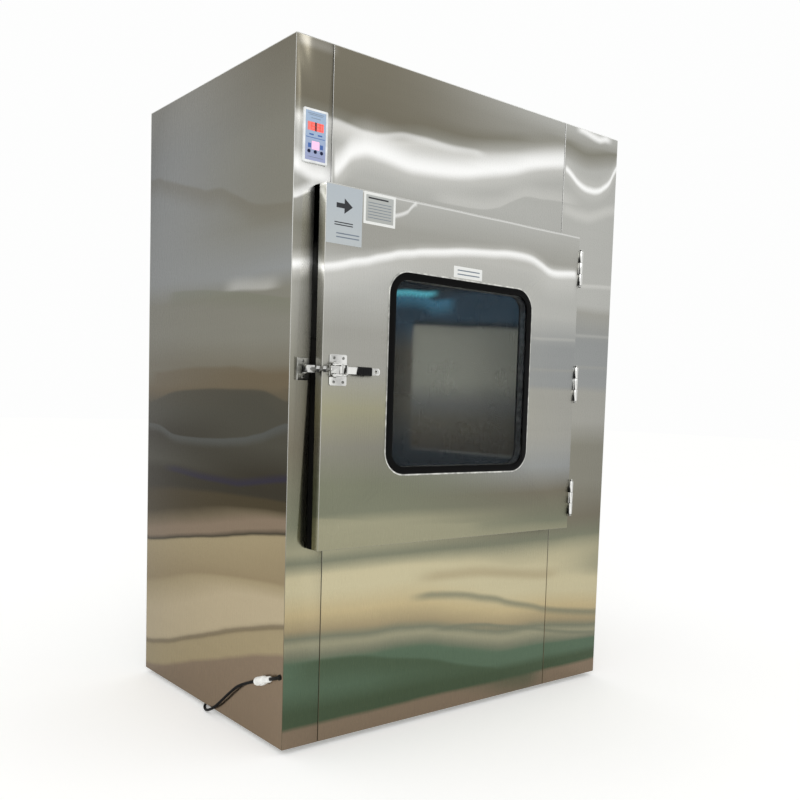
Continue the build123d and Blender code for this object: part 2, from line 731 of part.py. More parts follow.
# -------------------------------------------------------------- controller
def build_controller():
    """Bezel on the left strip, the housing behind it and three keys."""
    x0 = panel_x0
    x1 = x0 + panel_width
    z0 = panel_z0
    z1 = z0 + panel_height
    face = front_y - panel_thickness
    bezel = block((x0, x1), (face, front_y), (z0, z1))
    bezel = chamfer(bezel.edges().filter_by(Axis.Y), panel_bevel)
    inset = panel_recess_inset
    bezel -= block((x0 + inset, x1 - inset), (face - 1, face + panel_recess_depth), (z0 + inset, z1 - inset))
    key_z = z0 + key_rise
    key_face = front_y - key_length - key_travel - key_backing
    for i in range(3):
        x = (x0 + x1) / 2 + (i - 1) * key_pitch
        bezel -= round_bar((x, face - 1, key_z), (x, front_y + 1, key_z), key_radius + key_play)
        keep("key_%d" % (i + 1), round_bar((x, key_face, key_z), (x, key_face + key_length, key_z), key_radius))
    keep("controller_bezel", bezel)
    inset = panel_housing_inset
    keep("controller_housing", block((x0 + inset, x1 - inset), (front_y, front_y + panel_housing_depth),
                                     (z0 + inset, z1 - inset)))


# -------------------------------------------------------------- mains lead
def cord_tube(points, diameter):
    """A tube of straight runs and tangent arcs through a list of points."""
    radii = []
    for before, corner, after in zip(points, points[1:], points[2:]):
        run_in = Vector(*corner) - Vector(*before)
        run_out = Vector(*after) - Vector(*corner)
        turn = math.radians(run_in.get_angle(run_out))
        radii.append(lead_bend * min(run_in.length, run_out.length) / math.tan(turn / 2))
    path = FilletPolyline(*points, radius=radii)
    section = Plane(origin=points[0], x_dir=(1, 0, 0), z_dir=path % 0) * Rot(0, 0, 180 / lead_sides) * RegularPolygon(
        diameter / 2, lead_sides, major_radius=False)
    print("lead: length %.0f, radii %s" % (path.length, [round(r) for r in radii]))
    return sweep(section, path=path)


def build_lead():
    """Elbow gland low on the left side, in-line coupler, lead, coil and plug."""
    slope = math.radians(coupler_slope)
    run = Vector(0, math.cos(slope), -math.sin(slope))
    centre = Vector(left_x - elbow_reach, front_y + elbow_inset, base_z + elbow_rise)
    root = Vector(left_x, centre.Y, centre.Z)
    coupler_start = centre + run * elbow_outlet
    bend = Polyline(tuple(root), tuple(centre), tuple(coupler_start))
    section = Plane(origin=root, z_dir=bend % 0) * Circle(elbow_radius)
    elbow = sweep(section, path=bend, transition=Transition.RIGHT)
    thickness, flats = elbow_nut
    keep("mains_elbow", elbow + hex_nut((left_x - thickness, root.Y, root.Z), tuple(root), flats))
    coupler_end = coupler_start + run * coupler_length
    boot_start = coupler_start + run * (coupler_length * coupler_boot)
    coupler = round_bar(tuple(coupler_start), tuple(boot_start), coupler_radius)
    keep("mains_coupler", coupler + round_bar(tuple(boot_start), tuple(coupler_end), coupler_boot_radius))
    route = [tuple(coupler_end + run * lead_clearance)] + lead_route
    keep("mains_lead", cord_tube(route, lead_diameter))
    end = Vector(*route[-1])
    coil_radius = coil_mean_radius + coil_width / 2
    coil_x = end.X + coil_radius - lead_diameter / 2
    entry = math.sqrt(coil_radius ** 2 - (coil_radius - lead_diameter) ** 2)
    coil_y = end.Y + entry + coil_clearance
    ring = RegularPolygon(coil_radius, coil_sides) - RegularPolygon(coil_radius - coil_width, coil_sides)
    keep("mains_coil", Pos(coil_x, coil_y, 0) * extrude(ring, coil_height))
    length, width, height = plug_size
    plug_x = coil_x + coil_radius + coil_clearance
    body = block((plug_x, plug_x + length), (coil_y - width / 2, coil_y + width / 2), (0, height))
    plug = chamfer(body.edges().filter_by(Axis.X), plug_bevel)
    pin_length, pin_width, pin_height = plug_pin
    for y, z in plug_pin_places:
        plug += block((plug_x + length - 1, plug_x + length + pin_length),
                      (coil_y + y - pin_width / 2, coil_y + y + pin_width / 2),
                      (z - pin_height / 2, z + pin_height / 2))
    keep("mains_plug", plug)


def build_all():
    """Build every node and write one STEP file for each."""
    build_casing()
    build_frame()
    build_feet()
    build_chamber()
    build_lamp()
    build_filter()
    build_blower()
    build_door()
    build_hinges()
    build_latches()
    build_interlock()
    build_controller()
    build_lead()
    os.makedirs("parts", exist_ok=True)
    for name, shape in nodes.items():
        export_step(shape, os.path.join("parts", name + ".step"))
    print(len(nodes), "nodes")


build_all()
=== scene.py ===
"""Dresses the cleanroom pass box: sheets, glazed doors, latches, hinges, controller, labels and lead."""
import logging
import math
from dataclasses import dataclass, field
from enum import Enum
from typing import Iterable, Optional, Sequence, Union

import bmesh
import bpy
from mathutils import Matrix, Vector


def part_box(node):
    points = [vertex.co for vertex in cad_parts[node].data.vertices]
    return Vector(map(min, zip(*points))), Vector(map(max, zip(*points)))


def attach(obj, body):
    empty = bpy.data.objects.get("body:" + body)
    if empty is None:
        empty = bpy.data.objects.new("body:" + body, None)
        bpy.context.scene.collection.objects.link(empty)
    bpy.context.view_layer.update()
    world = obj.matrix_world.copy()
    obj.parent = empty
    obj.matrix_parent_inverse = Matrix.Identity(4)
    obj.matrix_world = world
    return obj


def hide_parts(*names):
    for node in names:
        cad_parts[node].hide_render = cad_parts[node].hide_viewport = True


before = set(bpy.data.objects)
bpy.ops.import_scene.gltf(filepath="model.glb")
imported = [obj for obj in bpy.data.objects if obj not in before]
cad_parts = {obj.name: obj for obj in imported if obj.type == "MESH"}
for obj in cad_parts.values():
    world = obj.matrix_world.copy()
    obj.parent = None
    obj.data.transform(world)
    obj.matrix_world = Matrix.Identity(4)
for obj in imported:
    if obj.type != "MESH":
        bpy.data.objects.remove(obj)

log = logging.getLogger("pass_box")
MM = 0.001
Value = Union["Field", float, Sequence[float]]
Span = tuple[float, float]
Mesh = bmesh.types.BMesh
Part = bpy.types.Object
UP = Vector((0, 0, 1))
# height of the doors' middle, where the latches and the middle hinges sit
DOOR_MIDDLE = 0.998
# edges sharper than this are rounded, or stay crisp on small pieces
CRISP_ANGLE = math.radians(35.0)


# ------------------------------------------------------------------ colours
class Tone(Enum):
    """Reflections of a room painted into polished sheet, as display values."""

    WHITE = (252, 252, 250)
    PEARL = (214, 213, 208)
    SILVER = (180, 180, 175)
    ASH = (160, 159, 152)
    PEWTER = (148, 150, 149)
    STONE = (134, 132, 121)
    DRAB = (122, 117, 103)
    OLIVE = (117, 112, 98)
    LICHEN = (122, 124, 106)
    REED = (154, 151, 127)
    STRAW = (193, 184, 152)
    WHEAT = (188, 172, 134)
    DUNE = (180, 166, 138)
    SAND = (160, 146, 116)
    TAUPE = (146, 131, 103)
    CLAY = (134, 118, 100)
    UMBER = (110, 99, 80)
    FERN = (91, 110, 91)
    MOSS = (75, 89, 69)
    SMOKE = (78, 76, 67)
    PEAT = (60, 56, 47)
    BARK = (74, 66, 50)
    DUSK = (54, 51, 66)
    SLATE = (90, 92, 89)
    INK = (34, 42, 48)
    NAVY = (50, 72, 88)
    AZURE = (78, 142, 172)
    GLOW = (120, 236, 255)
    PUTTY = (128, 130, 120)


class End(Enum):
    """The two mouths of the chamber, each with its own door."""

    FRONT = -1
    REAR = 1

    @property
    def word(self) -> str:
        """The end's name as the CAD nodes and bodies use it."""
        return self.name.lower()


class Figure(Enum):
    """Figures of a seven-segment display, as the bars that are lit."""

    ZERO = "abcdef"
    ONE = "bc"
    THREE = "abcdg"
    FIVE = "acdfg"


def linear(rgb: Sequence[float]) -> tuple[float, float, float, float]:
    """Turns a display colour into a linear one.

    Args:
        rgb: Three display values from 0 to 255.

    Returns:
        Red, green and blue from 0 to 1, and a full alpha.
    """
    def one(value: float) -> float:
        """One channel."""
        share = value / 255
        return share / 12.92 if share <= 0.04045 else ((share + 0.055) / 1.055) ** 2.4

    return one(rgb[0]), one(rgb[1]), one(rgb[2]), 1.0


# ------------------------------------------------------------- shader maths
class Field:
    """A value or colour that changes over a surface, with arithmetic on values."""

    def __init__(self, graph: "Graph", socket: Optional[bpy.types.NodeSocket]) -> None:
        """Keeps the socket that the field is read from."""
        self.graph = graph
        self.socket = socket

    def _math(self, operation: str, *values: Value) -> "Field":
        """Adds one Math node."""
        return self.graph.node("ShaderNodeMath", {"operation": operation}, dict(enumerate(values)))

    def __add__(self, other: Value) -> "Field":
        """Field plus other."""
        return self._math("ADD", self, other)

    def __radd__(self, other: Value) -> "Field":
        """Other plus field."""
        return self._math("ADD", other, self)

    def __sub__(self, other: Value) -> "Field":
        """Field less other."""
        return self._math("SUBTRACT", self, other)

    def __rsub__(self, other: Value) -> "Field":
        """Other less field."""
        return self._math("SUBTRACT", other, self)

    def __mul__(self, other: Value) -> "Field":
        """Field times other."""
        return self._math("MULTIPLY", self, other)

    def __rmul__(self, other: Value) -> "Field":
        """Other times field."""
        return self._math("MULTIPLY", other, self)

    def __truediv__(self, other: Value) -> "Field":
        """Field over other."""
        return self._math("DIVIDE", self, other)

    def wave(self) -> "Field":
        """Sine of the field."""
        return self._math("SINE", self)

    def smooth(self, low: float, high: float) -> "Field":
        """Eases from 0 at low to 1 at high.

        Args:
            low: Where the result is 0.
            high: Where the result is 1.

        Returns:
            The eased field.
        """
        return self.graph.node("ShaderNodeMapRange", {"interpolation_type": "SMOOTHSTEP"},
                               {0: self, 1: low, 2: high, 3: 0.0, 4: 1.0})


class Graph:
    """The node tree of one material or world."""

    def __init__(self, owner: Union[bpy.types.Material, bpy.types.World]) -> None:
        """Empties the owner's tree.

        Args:
            owner: The material or world.
        """
        owner.use_nodes = True
        self.tree = owner.node_tree
        self.tree.nodes.clear()

    def node(self, kind: str, settings: Optional[dict] = None, inputs: Optional[dict] = None,
             output: Union[int, str] = 0) -> Field:
        """Adds a node.

        Args:
            kind: The node's type.
            settings: Its settings, which are set first. "stops" are a ramp's (place, colour) pairs, and
                "easing" is how they meet.
            inputs: Values or fields for its sockets, by name or index.
            output: The socket that is read.

        Returns:
            The field at that socket, which is empty for a node that ends the tree.
        """
        made = self.tree.nodes.new(kind)
        for name, value in (settings or {}).items():
            if name == "stops":
                elements = made.color_ramp.elements
                elements[0].position, elements[0].color = value[0]
                elements[1].position, elements[1].color = value[-1]
                for place, colour in value[1:-1]:
                    elements.new(place).color = colour
            elif name == "easing":
                made.color_ramp.interpolation = value
            else:
                setattr(made, name, value)
        for name, value in (inputs or {}).items():
            if isinstance(value, Field):
                self.tree.links.new(value.socket, made.inputs[name])
            else:
                made.inputs[name].default_value = value
        return Field(self, made.outputs[output] if made.outputs else None)

    def place(self) -> tuple[Field, Field, Field]:
        """X, Y and Z on the piece at rest, in metres."""
        spot = self.node("ShaderNodeTexCoord", output="Object")
        return tuple(self.node("ShaderNodeSeparateXYZ", {}, {0: spot}, axis) for axis in range(3))

    def noise(self, scale: float, detail: float = 2.0, stretch: Sequence[float] = (1, 1, 1)) -> Field:
        """Cloudy noise.

        Args:
            scale: How many clouds there are in a metre.
            detail: How many finer layers are added.
            stretch: What each axis is multiplied by.

        Returns:
            A field from 0 to 1.
        """
        spot = self.node("ShaderNodeTexCoord", output="Object")
        spot = self.node("ShaderNodeMapping", {}, {"Vector": spot, "Scale": stretch})
        return self.node("ShaderNodeTexNoise", {}, {"Vector": spot, "Scale": scale, "Detail": detail})

    def ramp(self, value: Value, stops: Sequence[tuple[float, Sequence[float]]],
             easing: str = "LINEAR") -> Field:
        """Colours a field through a ramp of (place, colour) stops."""
        return self.node("ShaderNodeValToRGB", {"stops": list(stops), "easing": easing}, {0: value})

    def curve(self, value: Field, points: Sequence[Span]) -> Field:
        """A smooth height through points.

        Args:
            value: Place along the sheet.
            points: (place, height) pairs, from the lowest place up.

        Returns:
            The height at each place.
        """
        start, run = points[0][0], points[-1][0] - points[0][0]
        low = min(height for _, height in points)
        rise = max(height for _, height in points) - low + MM
        stops = [((place - start) / run, (*[(height - low) / rise] * 3, 1)) for place, height in points]
        return self.ramp((value - start) / run, stops, "CARDINAL") * rise + low

    def mix(self, share: Value, first: Value, second: Value, blend: str = "MIX") -> Field:
        """Mixes two colours.

        Args:
            share: How much of the second shows.
            first: A colour or a field.
            second: A colour or a field.
            blend: The way they meet.

        Returns:
            The mixed colour.
        """
        settings = {"data_type": "RGBA", "blend_type": blend}
        return self.node("ShaderNodeMix", settings, {0: share, 6: first, 7: second}, 2)

    def bump(self, height: Field) -> Field:
        """The normal of a surface raised by height, in metres."""
        return self.node("ShaderNodeBump", {}, {"Height": height, "Distance": 1.0})

    def surface(self, inputs: dict) -> None:
        """Ends a material in one Principled surface with those inputs."""
        shader = self.node("ShaderNodeBsdfPrincipled", {}, inputs)
        self.node("ShaderNodeOutputMaterial", {}, {"Surface": shader})


# ----------------------------------------------------------------- finishes
@dataclass(frozen=True)
class Finish:
    """A surface finish, made the first time that it is asked for."""

    name: str

    def material(self) -> bpy.types.Material:
        """The finish's material.

        Returns:
            The material that bears the finish's name.
        """
        own = "look_" + self.name
        found = bpy.data.materials.get(own)
        if found is None:
            found = bpy.data.materials.new(own)
            self.shade(Graph(found))
        return found

    def shade(self, graph: Graph) -> None:
        """Builds the finish's nodes in the graph."""
        raise NotImplementedError(self.name)


@dataclass(frozen=True)
class PaintedReflectionLine:
    """A painted highlight or dark reflection band on a line across a sheet: points are (place along the
    sheet, height).
    """

    points: tuple[Span, ...]
    above: float
    below: float
    strength: float
    tone: Tone = Tone.WHITE
    ends: float = 0.04

    def mask(self, graph: Graph, along: Field, level: Field) -> Field:
        """How much of the painted reflection line shows.

        Args:
            graph: The material's graph.
            along: Place along the sheet.
            level: Height on the sheet.

        Returns:
            A field from 0 to the line's strength.
        """
        start, stop = self.points[0][0], self.points[-1][0]
        gap = level - graph.curve(along, self.points)
        ends = along.smooth(start - self.ends, start) * (1 - along.smooth(stop, stop + self.ends))
        return (1 - gap.smooth(0, self.above)) * gap.smooth(-self.below, 0) * ends * self.strength


@dataclass(frozen=True)
class Lean:
    """Where the painted reflection tones of a sheet rise or sink along it: points are (place, how far they
    sink).
    """

    points: tuple[Span, ...]
    window: tuple[float, float, float, float]

    def shift(self, graph: Graph, along: Field, z: Field) -> Field:
        """How far the painted reflection tones are sunk at each place."""
        foot, low, high, head = self.window
        return graph.curve(along, self.points) * z.smooth(foot, low) * (1 - z.smooth(high, head))


@dataclass(frozen=True)
class Column:
    """Painted reflection tones down a sheet, as (height, tone) from the floor up."""

    zones: tuple[tuple[float, Tone], ...]

    def colour(self, graph: Graph, level: Field) -> Field:
        """The column's colour at a height.

        Args:
            graph: The material's graph.
            level: Height on the sheet.

        Returns:
            The colour there.
        """
        low, high = self.zones[0][0], self.zones[-1][0]
        stops = [((height - low) / (high - low), linear(tone.value)) for height, tone in self.zones]
        return graph.ramp((level - low) / (high - low), stops)


@dataclass(frozen=True)
class SheetSteel(Finish):
    """Brushed stainless sheet with long waves, and the room's reflections painted into its colour.

    The near and far columns hold its painted reflection tones at the two ends of the span, along X or, with
    along_y, along Y.
    The rim is how much light the sheet throws back at a flat angle, and the brush how strong its lines are.
    """

    near: Column
    far: Column
    span: Span
    reflection_lines: tuple[PaintedReflectionLine, ...] = ()
    leans: tuple[Lean, ...] = ()
    along_y: bool = False
    wobble: float = 0.022
    roughness: float = 0.27
    waves: float = 0.25 * MM
    glow: float = 0.0
    rim: float = 0.62
    brush: float = 1.0

    def shade(self, graph: Graph) -> None:
        """Mixes the two columns of painted reflection along the sheet, lays the painted highlight and dark
        reflection lines on and adds the grain.

        Args:
            graph: The material's graph.
        """
        x, y, z = graph.place()
        along = y if self.along_y else x
        drift = graph.noise(2.6, 3.0, (1, 1, 2.6)) - 0.5
        level = z + drift * self.wobble
        for lean in self.leans:
            level = level + lean.shift(graph, along, z)
        share = along.smooth(*self.span)
        # painted reflections: the two columns of reflected tones, mixed along the sheet
        tone = graph.mix(share, self.near.colour(graph, level), self.far.colour(graph, level))
        line_level = z + drift * (0.4 * self.wobble)
        # painted highlights and dark reflection lines laid over the painted tones
        for line in self.reflection_lines:
            tone = graph.mix(line.mask(graph, along, line_level), tone, linear(line.tone.value))
        grain = 0.5 + (graph.noise(1.0, 2.0, (900, 900, 7)) - 0.5) * self.brush
        streak = graph.noise(1.0, 3.0, (1.5, 1.5, 45))
        cloud = graph.noise(5.0, 4.0, (1, 1, 1.6))
        shade = 0.925 + 0.05 * grain + 0.05 * streak + 0.05 * cloud
        tone = graph.mix(1.0, tone, shade, "MULTIPLY")
        swell = graph.noise(3.1, 1.0, (1, 1, 1.8))
        inputs = {"Base Color": tone, "Metallic": 1.0, "Specular Tint": (self.rim, self.rim, self.rim, 1.0),
                  "Roughness": self.roughness + (grain - 0.5) * 0.10 + (cloud - 0.5) * 0.08,
                  "Normal": graph.bump(swell * self.waves + grain * (0.002 * MM))}
        # painted glow: the sheet's painted reflection tone also emits light, though the sheet is no lamp
        if self.glow:
            inputs["Emission Color"] = tone
            inputs["Emission Strength"] = self.glow
        graph.surface(inputs)


@dataclass(frozen=True)
class BandedSteel(Finish):
    """Bright plated hardware, with light and dark bands of painted reflection and shade on its curved faces.
    """

    bands: tuple[Span, ...] = ((0.0, 40), (0.221, 52), (0.236, 130), (0.26, 214), (0.36, 244), (0.44, 206),
                               (0.50, 184), (0.57, 228), (0.74, 252), (0.86, 140), (1.0, 226))
    roughness: float = 0.17

    def shade(self, graph: Graph) -> None:
        """Painted reflection and shade bands by the way that a face points, with faint wiping marks.

        Args:
            graph: The material's graph.
        """
        facing = graph.node("ShaderNodeTexCoord", output="Normal")
        across = graph.node("ShaderNodeSeparateXYZ", {}, {0: facing}, 0)
        upward = graph.node("ShaderNodeSeparateXYZ", {}, {0: facing}, 2)
        marks = graph.noise(70.0, 4.0)
        # painted reflection and shade: faces that point left or down fall in the dark bands, the others in
        # the light ones
        place = 0.5 + across * 0.28 + upward * 0.30 + (marks - 0.5) * 0.10
        stops = [(spot, linear((grey, grey, 0.985 * grey))) for spot, grey in self.bands]
        fine = graph.noise(1100.0, 2.0, (1, 1, 0.15))
        graph.surface({"Base Color": graph.ramp(place, stops), "Metallic": 1.0,
                       "Roughness": self.roughness + (fine - 0.5) * 0.12,
                       "Normal": graph.bump(marks * (0.02 * MM) + fine * (0.002 * MM))})


@dataclass(frozen=True)
class PolishedSteel(Finish):
    """Bright polished or plated steel with faint wiping marks."""

    tone: tuple[float, float, float]
    roughness: float = 0.16
    marks: float = 60.0

    def shade(self, graph: Graph) -> None:
        """A bright metal that darkens a little in cloudy marks.

        Args:
            graph: The material's graph.
        """
        cloud = graph.noise(self.marks, 4.0)
        fine = graph.noise(900.0, 2.0, (1, 1, 0.15))
        bright = linear(self.tone)
        dull = linear([0.72 * part for part in self.tone])
        graph.surface({"Base Color": graph.mix(cloud.smooth(0.30, 0.72), dull, bright), "Metallic": 1.0,
                       "Roughness": self.roughness + (fine - 0.5) * 0.12,
                       "Normal": graph.bump(cloud * (0.02 * MM) + fine * (0.002 * MM))})


@dataclass(frozen=True)
class Moulding(Finish):
    """Moulded plastic with a fine grain and a slight mottle."""

    tone: tuple[float, float, float]
    roughness: float = 0.4
    grain: float = 0.01 * MM
    shine: float = 0.4

    def shade(self, graph: Graph) -> None:
        """A plastic whose colour and gloss drift a little.

        Args:
            graph: The material's graph.
        """
        cloud = graph.noise(45.0, 3.0)
        fine = graph.noise(2600.0, 1.0)
        pale = linear([min(255.0, 1.04 * part + 2) for part in self.tone])
        deep = linear([0.92 * part for part in self.tone])
        graph.surface({"Base Color": graph.mix(cloud.smooth(0.25, 0.75), deep, pale),
                       "Roughness": self.roughness + (fine - 0.5) * 0.15 + (cloud - 0.5) * 0.12,
                       "Specular IOR Level": self.shine, "Normal": graph.bump(fine * self.grain)})


@dataclass(frozen=True)
class Rubber(Finish):
    """Black rubber with a dusty bloom."""

    tone: tuple[float, float, float] = (9, 9, 9)
    bloom: tuple[float, float, float] = (34, 33, 31)

    def shade(self, graph: Graph) -> None:
        """Rubber with bloom in patches and a pitted skin.

        Args:
            graph: The material's graph.
        """
        dust = graph.noise(28.0, 5.0, (1, 1, 0.5)).smooth(0.5, 0.85)
        pits = graph.noise(1500.0)
        graph.surface({"Base Color": graph.mix(dust * 0.35, linear(self.tone), linear(self.bloom)),
                       "Roughness": 0.52 + dust * 0.25, "Specular IOR Level": 0.05,
                       "Normal": graph.bump(pits * (0.02 * MM))})


@dataclass(frozen=True)
class Glass(Finish):
    """Clear sheet glass, a little dusky, with wiping haze."""

    tint: tuple[float, float, float] = (22, 30, 34)
    haze_tone: tuple[float, float, float] = (70, 78, 80)
    cover: float = 0.10

    def shade(self, graph: Graph) -> None:
        """A thin dusky layer whose haze thickens a little where it was wiped.

        Args:
            graph: The material's graph.
        """
        haze = graph.noise(9.0, 4.0, (1, 1, 0.3)).smooth(0.45, 0.9)
        graph.surface({"Base Color": graph.mix(haze * 0.5, linear(self.tint), linear(self.haze_tone)),
                       "Roughness": 0.04 + haze * 0.04, "Specular IOR Level": 0.5,
                       "Alpha": self.cover + haze * 0.02})


@dataclass(frozen=True)
class Lit(Finish):
    """A lit surface, such as a lamp or a display segment."""

    tone: tuple[float, float, float]
    strength: float = 1.0
    fade: float = 0.25

    def shade(self, graph: Graph) -> None:
        """Light of one hue with an uneven strength.

        Args:
            graph: The material's graph.
        """
        patch = graph.noise(160.0)
        colour = graph.mix(patch * self.fade, linear(self.tone), linear([0.6 * part for part in self.tone]))
        graph.surface({"Base Color": colour, "Roughness": 0.35, "Emission Color": colour,
                       "Emission Strength": self.strength})


@dataclass(frozen=True)
class Film(Finish):
    """Printed plastic film with a satin face, such as a label or a membrane."""

    tone: tuple[float, float, float]
    second: tuple[float, float, float]
    edge: Span = (0.0, 1.0)

    def shade(self, graph: Graph) -> None:
        """Two print tones that meet over a height, with fibres in the film.

        Args:
            graph: The material's graph.
        """
        _, _, z = graph.place()
        fibre = graph.noise(700.0, 3.0)
        colour = graph.mix(z.smooth(*self.edge), linear(self.second), linear(self.tone))
        colour = graph.mix(1.0, colour, 0.94 + 0.08 * fibre, "MULTIPLY")
        graph.surface({"Base Color": colour, "Roughness": 0.38 + (fibre - 0.5) * 0.2,
                       "Normal": graph.bump(fibre * (0.006 * MM))})


@dataclass(frozen=True)
class PleatedPaper(Finish):
    """White filter paper folded into close pleats."""

    pitch: float = 3.0 * MM

    def shade(self, graph: Graph) -> None:
        """Pleats across the pack, with painted shade in their folds.

        Args:
            graph: The material's graph.
        """
        x, _, _ = graph.place()
        fold = (x * (2 * math.pi / self.pitch)).wave() * 0.5 + 0.5
        fibre = graph.noise(1800.0, 3.0)
        # painted shade: the paper is darker in the folds of its pleats
        colour = graph.mix(fold, linear((188, 188, 182)), linear((238, 238, 232)))
        graph.surface({"Base Color": colour, "Roughness": 0.8 + fibre * 0.15,
                       "Normal": graph.bump(fold * (0.6 * MM) + fibre * (0.02 * MM))})


@dataclass(frozen=True)
class StudioFloor(Finish):
    """Pale seamless floor."""

    tone: tuple[float, float, float] = (250, 250, 249)
    lift: float = 0.285

    def shade(self, graph: Graph) -> None:
        """Matt white with the faintest mottle.

        Args:
            graph: The material's graph.
        """
        cloud = graph.noise(1.2)
        colour = graph.mix(cloud, linear(self.tone), linear([part - 2 for part in self.tone]))
        graph.surface({"Base Color": colour, "Roughness": 0.95, "Specular IOR Level": 0.0,
                       "Emission Color": colour, "Emission Strength": self.lift})


class Finishes:
    """Every finish of the pass box.

    The tables are painted reflections, in metres: columns run from the floor up, leans and reflection lines
    along their sheet.
    """

    # front sheets, painted reflections: the low tones are shared, and the highlights are painted bright
    # lines over a softer painted glow
    LOW = (
        (0.015, Tone.CLAY), (0.060, Tone.CLAY), (0.068, Tone.MOSS), (0.11, Tone.MOSS), (0.17, Tone.FERN),
        (0.238, Tone.FERN), (0.258, Tone.LICHEN), (0.285, Tone.REED), (0.303, Tone.LICHEN),
        (0.325, Tone.SAND), (0.37, Tone.WHEAT), (0.425, Tone.STRAW), (0.462, Tone.STRAW),
        (0.482, Tone.REED))
    FRONT_NEAR = Column(LOW + (
        (0.500, Tone.LICHEN), (0.53, Tone.REED), (0.60, Tone.LICHEN), (0.80, Tone.OLIVE),
        (1.00, Tone.STONE), (1.20, Tone.ASH), (1.36, Tone.STONE), (1.42, Tone.ASH), (1.50, Tone.SILVER),
        (1.58, Tone.SILVER), (1.617, Tone.PEARL), (1.638, Tone.STONE), (1.67, Tone.OLIVE),
        (1.81, Tone.DRAB)))
    FRONT_FAR = Column(LOW + (
        (0.500, Tone.LICHEN), (0.56, Tone.OLIVE), (0.68, Tone.STONE), (0.80, Tone.STONE), (0.88, Tone.ASH),
        (0.975, Tone.ASH), (1.00, Tone.PEWTER), (1.14, Tone.PEWTER), (1.235, Tone.ASH), (1.26, Tone.SILVER),
        (1.617, Tone.SILVER), (1.638, Tone.ASH), (1.67, Tone.STONE), (1.70, Tone.ASH), (1.81, Tone.SILVER)))
    FRONT_LEANS = (
        Lean(((-0.62, 0.0), (-0.375, 0.015), (-0.233, 0.014), (-0.079, 0.035), (0.133, 0.079),
             (0.356, 0.093), (0.617, 0.120)), (0.06, 0.16, 0.34, 0.50)),
        Lean(((-0.50, 0.0), (-0.37, 0.012), (-0.22, -0.012), (-0.02, -0.018), (0.12, -0.042),
             (0.24, -0.064), (0.36, -0.086), (0.48, -0.072), (0.62, -0.102)), (1.50, 1.56, 1.76, 1.81)))
    MAIN_HIGHLIGHT = (
        (-0.496, 1.509), (-0.458, 1.551), (-0.415, 1.574), (-0.363, 1.576), (-0.23, 1.566), (-0.017, 1.594),
        (0.17, 1.642), (0.358, 1.693))
    STRIP_HIGHLIGHT = (
        (0.375, 1.675), (0.421, 1.647), (0.479, 1.629), (0.547, 1.641), (0.592, 1.679), (0.625, 1.73))
    STRIP_SPOT_HIGHLIGHT = ((-0.615, 1.257), (-0.555, 1.27))
    FRONT_REFLECTION_LINES = (
        PaintedReflectionLine(((-0.132, 0.368), (0.038, 0.345), (0.17, 0.314), (0.34, 0.27), (0.61, 0.226)), 0.016, 0.022,
               0.75, Tone.LICHEN, 0.10),
        PaintedReflectionLine(((-0.04, 0.262), (0.13, 0.241), (0.355, 0.197), (0.615, 0.154)), 0.010, 0.014, 0.85,
               Tone.LICHEN, 0.10),
        PaintedReflectionLine(((-0.501, 0.231), (-0.304, 0.205), (-0.076, 0.156), (0.137, 0.101), (0.276, 0.071)), 0.012,
               0.10, 0.75, Tone.MOSS, 0.12),
        PaintedReflectionLine(((-0.10, 0.42), (0.10, 0.41), (0.34, 0.38)), 0.03, 0.025, 0.55, Tone.SAND, 0.12),
        PaintedReflectionLine(MAIN_HIGHLIGHT, 0.10, 0.075, 0.62, Tone.PEARL, 0.01),
        PaintedReflectionLine(MAIN_HIGHLIGHT, 0.058, 0.030, 1.0, Tone.WHITE, 0.01),
        PaintedReflectionLine(((-0.499, 1.628), (-0.439, 1.621), (-0.372, 1.618), (-0.296, 1.637), (-0.217, 1.642),
               (-0.099, 1.642), (-0.02, 1.648)), 0.012, 0.018, 0.45, Tone.WHITE, 0.06),
        PaintedReflectionLine(((-0.101, 1.489), (0.034, 1.498), (0.108, 1.523), (0.185, 1.557), (0.276, 1.565),
               (0.366, 1.573)), 0.05, 0.006, 0.40, Tone.PEARL, 0.10),
        PaintedReflectionLine(STRIP_HIGHLIGHT, 0.05, 0.05, 0.35, Tone.PEARL, 0.01),
        PaintedReflectionLine(STRIP_HIGHLIGHT, 0.018, 0.016, 1.0, Tone.WHITE, 0.01),
        PaintedReflectionLine(((0.444, 1.81), (0.524, 1.798), (0.559, 1.806)), 0.02, 0.018, 0.9, Tone.WHITE, 0.04),
        PaintedReflectionLine(((0.384, 1.548), (0.485, 1.542), (0.611, 1.584)), 0.03, 0.03, 0.45, Tone.PEARL, 0.04),
        PaintedReflectionLine(((0.48, 1.322), (0.618, 1.331)), 0.008, 0.014, 0.45, Tone.PEARL, 0.03),
        PaintedReflectionLine(((0.42, 1.159), (0.618, 1.164)), 0.008, 0.010, 0.5, Tone.SILVER, 0.03),
        PaintedReflectionLine(((0.42, 1.058), (0.618, 1.060)), 0.008, 0.012, 0.4, Tone.ASH, 0.03),
        PaintedReflectionLine(((-0.621, 1.502), (-0.567, 1.484), (-0.513, 1.483)), 0.05, 0.030, 0.9, Tone.WHITE, 0.01),
        PaintedReflectionLine(((-0.616, 1.422), (-0.566, 1.448)), 0.03, 0.008, 0.8, Tone.WHITE, 0.03),
        PaintedReflectionLine(STRIP_SPOT_HIGHLIGHT, 0.045, 0.050, 0.9, Tone.PEARL, 0.01),
        PaintedReflectionLine(STRIP_SPOT_HIGHLIGHT, 0.018, 0.020, 1.0, Tone.WHITE, 0.01),
        PaintedReflectionLine(((-0.60, 1.80), (-0.52, 1.80)), 0.03, 0.018, 0.2, Tone.PEARL, 0.03))
